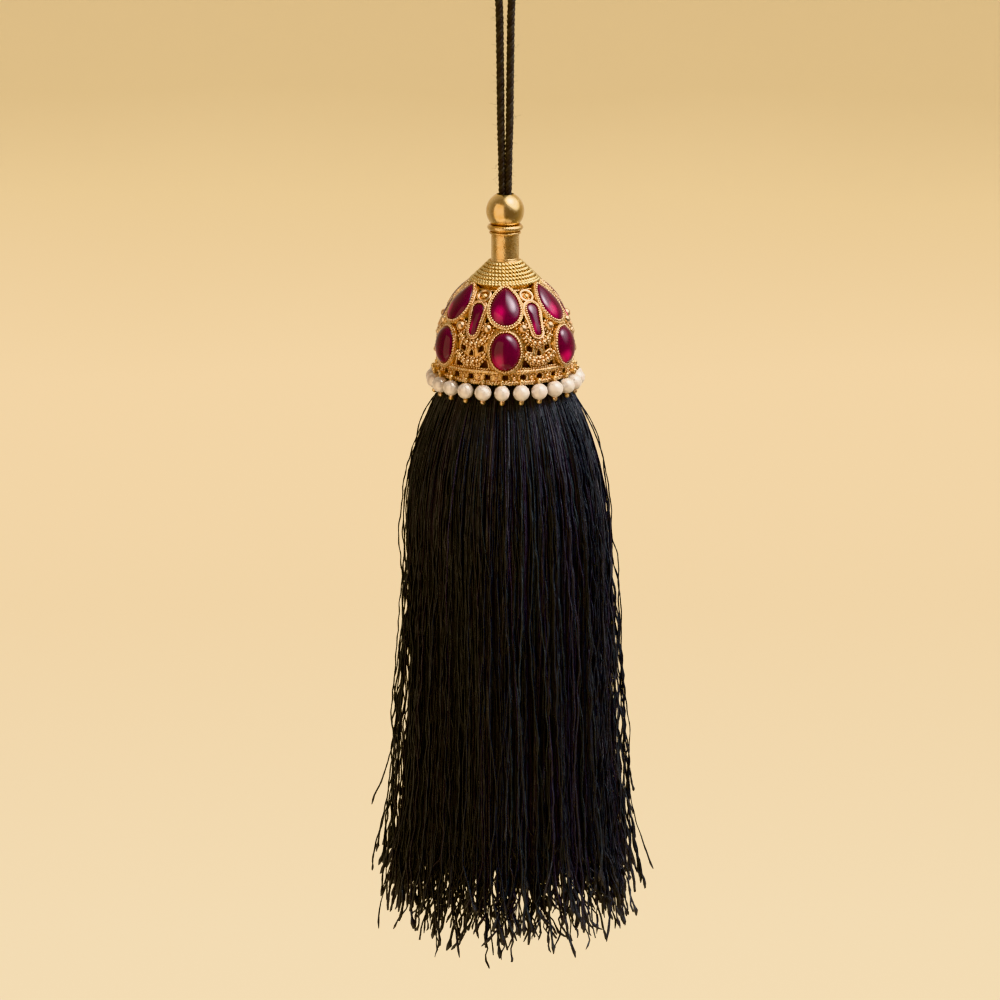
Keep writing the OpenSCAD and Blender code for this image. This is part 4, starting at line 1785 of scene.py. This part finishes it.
    def body(self, kind: Strands, depth: Pair, shorter: float) -> None:
        """Makes one layer of the body's long threads.

        Args:
            kind: The kind of thread.
            depth: Nearest and furthest from the axis, as parts of the body's radius.
            shorter: By how much of a share they may end early.
        """
        rng, each = self.rng, (kind.count, 1)
        turn = self.spread(kind.count)
        end = self.ends(turn) - shorter * rng.uniform(0, 1, kind.count)
        share = self.steps(self.thread_start, end, kind)
        shift, girth, tip = self.tips(share, end, kind)
        fade = risen(share, 0, self.settled)
        uneven = self.lock_shift * np.sin(turn * self.lock_groups)
        lock = self.lock_depth * np.cos(turn * self.locks + uneven)
        hangs_loose = rng.random(kind.count) < self.loose_part
        loose = np.where(hangs_loose, rng.uniform(0, 1, kind.count) ** 2 * self.loose_reach, 0)
        radius = self.profile(self.body_rows, share) * rng.uniform(*depth, each)
        radius += (lock + loose)[:, None] * fade
        radius += np.abs(self.wander(share, reach=0.25, lowest=0.6, highest=3.0)) * 0.6
        radius += rng.uniform(0, 1, each) ** 2.5 * self.flare * risen(share, *self.flare_span) ** 1.5
        kinks = self.kink + self.hem_kink * risen(share, *self.kink_span)
        drift = self.wander(share, reach=0.9, lowest=0.2, highest=1.1)
        drift += self.crinkle(share, kinks, self.thread_waves) + shift
        lean = -self.lock_lean / self.locks * np.sin(turn * self.locks)[:, None] * fade
        across = turn[:, None] + self.gathered(turn, share) + lean + drift / self.body_r
        paths = self.laid(across, share, (radius + np.abs(shift) * 0.3) * self.leaning(turn, share))
        self.make_threads(kind, paths, girth, tip)

    def net(self, kind: Strands) -> None:
        """Makes the loose crinkled strands that cross each other around the body.

        Args:
            kind: The kind of strand.
        """
        rng, each = self.rng, (kind.count, 1)
        turn = self.spread(kind.count)
        end = np.clip(self.ends(turn) + rng.uniform(-0.03, 0.03, kind.count), 0.88, 1.0)
        share = self.steps(0.0, end, kind)
        leave = rng.uniform(0.0, self.net_leaves, each)
        out = rng.beta(1.0, 1.1, each) * risen(share, leave, self.net_over)
        shift, girth, tip = self.tips(share, end, kind)
        inner = self.profile(self.body_rows, share) * 0.985 * self.leaning(turn, share)
        wider = 1 + self.net_lean * np.cos(turn)[:, None] + self.net_wide * risen(share, 0.7, 0.25)
        outer = self.profile(self.net_rows, share) * wider
        radius = inner + (outer - inner) * out
        outward, sideways = self.net_reach
        radius += self.crinkle(share, outward, self.net_waves) + np.abs(shift) * 0.4
        drift = self.wander(share, reach=1.0, lowest=0.3, highest=1.6)
        drift += self.crinkle(share, sideways, self.net_waves) + shift
        paths = self.laid(turn[:, None] + drift / self.strand_r, share, radius)
        self.make_threads(kind, paths, girth, tip)

    def hem(self, kind: Strands) -> None:
        """Makes the ends that hang out under the body.

        Args:
            kind: The kind of thread.
        """
        rng, each = self.rng, (kind.count, 1)
        turn = rng.uniform(0, 2 * math.pi, kind.count)
        depth = np.sqrt(rng.uniform(0.1, 1.0, each))
        end = np.clip(self.ends(turn) + rng.uniform(0.0, 0.035, kind.count), 0.9, 1.03)
        share = self.steps(end - rng.uniform(0.14, 0.22, kind.count), end, kind)
        shift, girth, tip = self.tips(share, end, kind)
        drift = shift + self.crinkle(share, 0.04, self.thread_waves)
        radius = self.profile(self.body_rows, share) * depth
        radius += self.crinkle(share, 0.04, self.thread_waves) + np.abs(shift) * depth * 0.45
        across = turn[:, None] + self.gathered(turn, share) + drift / np.maximum(radius, 5)
        paths = self.laid(across, share, radius * self.leaning(turn, share))
        self.make_threads(kind, paths, girth, tip)

    def middle_ends(self, kind: Strands) -> None:
        """Makes the short ends under the bundle's middle.

        Args:
            kind: The kind of thread.
        """
        turn = self.rng.uniform(0, 2 * math.pi, kind.count)
        depth = np.sqrt(self.rng.uniform(0.0, 0.74, (kind.count, 1)))
        end = self.rng.uniform(0.895, 0.921, kind.count) - 0.03 * depth[:, 0] ** 4
        share = self.steps(0.84, end, kind)
        shift, girth, tip = self.tips(share, end, kind)
        radius = self.profile(self.body_rows, share) * depth
        across = turn[:, None] + shift / np.maximum(radius, 4)
        self.make_threads(kind, self.laid(across, share, radius + np.abs(shift) * 0.2), girth, tip)

    def strays(self, kind: Strands) -> None:
        """Makes the long threads that stand off the sides: two drawn ones and others like them.

        Args:
            kind: The kind of thread.
        """
        piece = Piece(kind.name)
        for k in range(kind.count):
            line = smooth_line(np.array(self.right_stray if k % 2 else self.left_stray), kind.steps)
            share, radius = line.T[:, None]
            turn = math.pi * (1 - k)
            if k > 1:
                turn = 2 * math.pi * k / kind.count + 0.4
                radius = radius - self.rng.uniform(0.3, 2.2) * risen(share, 0, 0.5)
                share = share * self.rng.uniform(0.8, 1.02)
            drift = self.wander(share, reach=0.5, lowest=0.5, highest=2.0)
            drift += self.crinkle(share, 0.06, self.thread_waves)
            _, girth, tip = self.tips(share, share[:, -1], kind)
            radius = radius + self.crinkle(share, 0.06, self.thread_waves)
            paths = self.laid(turn + drift / self.strand_r, share, radius)
            self.add_threads(piece, paths, girth, kind.sides, np.array(kind.tones[:1]), tip)
        piece.make(self.silk, Slot.THREAD)

    def build(self) -> None:
        """Makes the whole skirt, from its middle outwards."""
        self.core()
        self.body(self.inner, depth=(0.925, 0.965), shorter=0.13)
        self.body(self.outer, depth=(0.965, 1.0), shorter=0.02)
        self.net(self.loose)
        self.middle_ends(self.under)
        self.hem(self.low)
        self.strays(self.stray)


# The studio


@dataclass(frozen=True)
class Lamp:
    """A soft light that faces the tassel."""

    name: str
    # Degrees from the front to the right, degrees above the tassel's middle, and distance.
    turn: float
    up: float
    away: float
    size: Pair
    watts: float
    colour: Colour
    # True for a card with straight edges, False for a round one.
    straight: bool = False
    # Brightness at the middle of a light that fades to its edge, as a multiple of its mean,
    # or 0 for an even light.
    fade_peak: float = 0.0

    def hang(self, target: Array) -> None:
        """Makes the light.

        Args:
            target: The point that it faces.
        """
        data = bpy.data.lights.new(self.name, "AREA")
        data.shape = "RECTANGLE" if self.straight else "ELLIPSE"
        data.size, data.size_y = self.size[0] * MM, self.size[1] * MM
        data.energy = self.watts
        data.color = self.colour
        if self.fade_peak:
            self.fade(data)
        lamp = in_scene(self.name, data)
        angle, rise = math.radians(self.turn - 90), math.radians(self.up)
        way = stacked(math.cos(angle) * math.cos(rise), math.sin(angle) * math.cos(rise), math.sin(rise))
        lamp.location = (target + way * self.away) * MM
        lamp.rotation_euler = (math.pi / 2 - rise, 0.0, math.radians(self.turn))
        lamp.visible_camera = False

    def fade(self, data: bpy.types.AreaLight) -> None:
        """Lets a round light fade from its middle to its edge at the same power.

        Args:
            data: The light.
        """
        data.use_nodes = True
        tree = data.node_tree
        place = added(tree, "NewGeometry").outputs["Parametric"]
        reach = added(tree, "VectorMath", {0: place, 1: (0.5, 0.5, 0.0)}, operation="DISTANCE")
        slope = added(tree, "MapRange", {"Value": reach.outputs["Value"], "From Max": 0.5,
                                         "To Min": self.fade_peak, "To Max": 0.0},
                      interpolation_type="SMOOTHSTEP")
        filled(tree, tree.nodes["Emission"], {"Strength": slope.outputs["Result"]})


@dataclass(frozen=True)
class Studio:
    """The camera at the photograph's angle, soft lights and a plain pale sweep."""

    lens: float = 97.2
    pitch: float = 16.0
    distance: float = 493.7
    target: tuple[float, float, float] = (-0.92, 0.0, -102.5)
    floor_z: float = -750.0
    floor_front: float = -4000.0
    floor_back: float = 1900.0
    sweep_r: float = 1300.0
    wall_h: float = 3200.0
    half_width: float = 6000.0
    floor_light: float = 2.9
    floor_colour: Colour = (1.0, 0.97, 0.92)
    # Degrees across the floor's light, and how far it leans off the upright.
    floor_soft: float = 60
    floor_slant: float = 28
    # The light all round, from the front at 0 to behind at 1.
    air_stops: tuple[tuple[float, Colour], ...] = (
        (0.15, (0.165, 0.12, 0.093)), (0.5, (0.27, 0.21, 0.155)), (0.95, (0.68, 0.55, 0.39)),
    )
    # What shows past the floor's edge, from the horizon upwards, painted darker higher up as shade on a
    # backdrop.
    air_seen: tuple[tuple[float, Colour], ...] = ((0.48, (0.93, 0.77, 0.5)), (0.7, (0.72, 0.56, 0.31)))
    lamps: tuple[Lamp, ...] = (
        Lamp("key", 76, 50, 620, (1150, 1450), 2.6, (1.0, 0.98, 0.94), fade_peak=3.33),
        Lamp("key_heart", 76, 50, 620, (380, 500), 4.3, (1.0, 0.98, 0.95), fade_peak=3.33),
        Lamp("top_light", 60, 62, 620, (520, 520), 1.7, (1.0, 0.98, 0.86), fade_peak=3.33),
        Lamp("warm_card", -40, -4, 600, (740, 1400), 3.0, (1.0, 0.74, 0.48), straight=True),
        Lamp("table_glow", 0, -68, 450, (600, 600), 0.5, (1.0, 0.78, 0.52)),
    )

    def camera(self) -> None:
        """Sets the camera where the photograph was taken from."""
        data = bpy.data.cameras.new("camera")
        data.lens = self.lens
        camera = in_scene("camera", data)
        pitch = math.radians(self.pitch)
        back = np.array([0.0, -math.cos(pitch), math.sin(pitch)]) * self.distance
        camera.location = (np.array(self.target) + back) * MM
        camera.rotation_euler = (math.pi / 2 - pitch, 0.0, 0.0)
        bpy.context.scene.camera = camera

    def sweep(self) -> bpy.types.Object:
        """Lays the floor, which curves up into the backdrop.

        Returns:
            The floor with its backdrop.
        """
        turn = np.radians(np.linspace(-90, 0, 25))
        curve = stacked(self.floor_back + self.sweep_r * np.cos(turn),
                        self.floor_z + self.sweep_r * (1 + np.sin(turn)))
        line = [(self.floor_front, self.floor_z), *curve, (self.floor_back + self.sweep_r, self.wall_h)]
        points = [(x * MM, y * MM, z * MM) for x in (-self.half_width, self.half_width) for y, z in line]
        count = len(line)
        faces = [(k, k + count, k + count + 1, k + 1) for k in range(count - 1)]
        mesh = bpy.data.meshes.new("sweep")
        mesh.from_pydata(points, [], faces)
        mesh.shade_smooth()
        mesh.materials.append(StageFinish().material())
        sweep = in_scene("sweep", mesh)
        sweep.visible_glossy = False
        return sweep

    def daylight(self, sweep: bpy.types.Object) -> None:
        """Lights the floor and backdrop evenly, and nothing else.

        Args:
            sweep: The floor with its backdrop.
        """
        data = bpy.data.lights.new("floor_light", "SUN")
        data.energy = self.floor_light
        data.angle = math.radians(self.floor_soft)
        data.color = self.floor_colour
        sun = in_scene("floor_light", data)
        sun.rotation_euler = (math.radians(self.floor_slant), 0.0, 0.0)
        lit = bpy.data.collections.new("lit_by_floor_light")
        lit.objects.link(sweep)
        sun.light_linking.receiver_collection = lit

    def air(self) -> None:
        """Sets the even light all round, and the cream, painted darker upwards, that shows past the
        floor.
        """
        world = bpy.data.worlds.new("studio_air")
        world.use_nodes = True
        tree = world.node_tree
        split = added(tree, "SeparateXYZ", {"Vector": added(tree, "TexCoord").outputs["Generated"]})
        colours = []
        for axis, stops in (("Y", self.air_stops), ("Z", self.air_seen)):
            share = added(tree, "MapRange", {"Value": split.outputs[axis], "From Min": -1.0})
            colours.append(coloured(tree, share.outputs["Result"], stops))
        light = filled(tree, tree.nodes["Background"], {"Color": colours[0]})
        seen = added(tree, "Background", {"Color": colours[1]})
        to_camera = added(tree, "LightPath").outputs["Is Camera Ray"]
        mix = added(tree, "MixShader", {"Fac": to_camera, 1: light.outputs["Background"],
                                        2: seen.outputs["Background"]})
        filled(tree, tree.nodes["World Output"], {"Surface": mix.outputs["Shader"]})
        bpy.context.scene.world = world

    def build(self) -> None:
        """Makes the camera, the lights and the sweep."""
        self.camera()
        self.air()
        for lamp in self.lamps:
            lamp.hang(np.array(self.target))
        self.daylight(self.sweep())
        bpy.context.scene.view_settings.view_transform = "Khronos PBR Neutral"


def main() -> None:
    """Loads the frame, then makes every sub-assembly in order."""
    logging.basicConfig(level=logging.INFO, format="%(name)s %(message)s")
    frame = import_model()
    rng = np.random.default_rng(SEED)
    dome = Dome()
    Studio().build()
    silk = SilkFinish("black_silk").material()
    cotton = SilkFinish("cotton_cord", black=(0.014, 0.011, 0.0115), plum=(0.025, 0.0155, 0.0165),
                        olive=(0.035, 0.032, 0.0285), brown=(0.037, 0.029, 0.027),
                        painted_glint=(0.055, 0.047, 0.042), smooth=0.45, dull=0.75, gloss=0.42,
                        sheen=(1.0, 0.92, 0.88)).material()
    gold = GoldFinish("antique_gold").material()
    fine_gold = GoldFinish("wire_gold", bright=(0.95, 0.74, 0.49), deep=(0.89, 0.62, 0.38),
                           patina_and_shade=(0.5, 0.24, 0.13), relief=0.0, roughness=0.23,
                           patina_and_shade_reach=0.4).material()
    woven_gold = GoldFinish("woven_gold", bright=(0.93, 0.8, 0.46), deep=(0.87, 0.66, 0.31),
                            patina_and_shade=(0.52, 0.28, 0.11), relief=0.0, roughness=0.24).material()
    polished = GoldFinish("polished_gold", deep=(0.88, 0.62, 0.27), relief=0.0, roughness=0.2,
                          patina_and_shade_reach=0.3).material()
    HangingCord(cotton, rng).build()
    frame["nodes"]["cap"].material_slots[0].material = gold
    frame["nodes"]["ball_bead"].material_slots[0].material = polished
    neck = Neck(dome, woven_gold, gold, rng)
    neck.wires()
    neck.foot()
    Stones(dome, RubyFinish().material(), fine_gold, rng).build()
    DomeWork(dome, fine_gold, rng).build()
    PearlFringe(dome, PearlFinish().material(), fine_gold, rng).build()
    Skirt(dome, silk, HeadFinish().material(), rng).build()


if __name__ == "__main__":
    main()
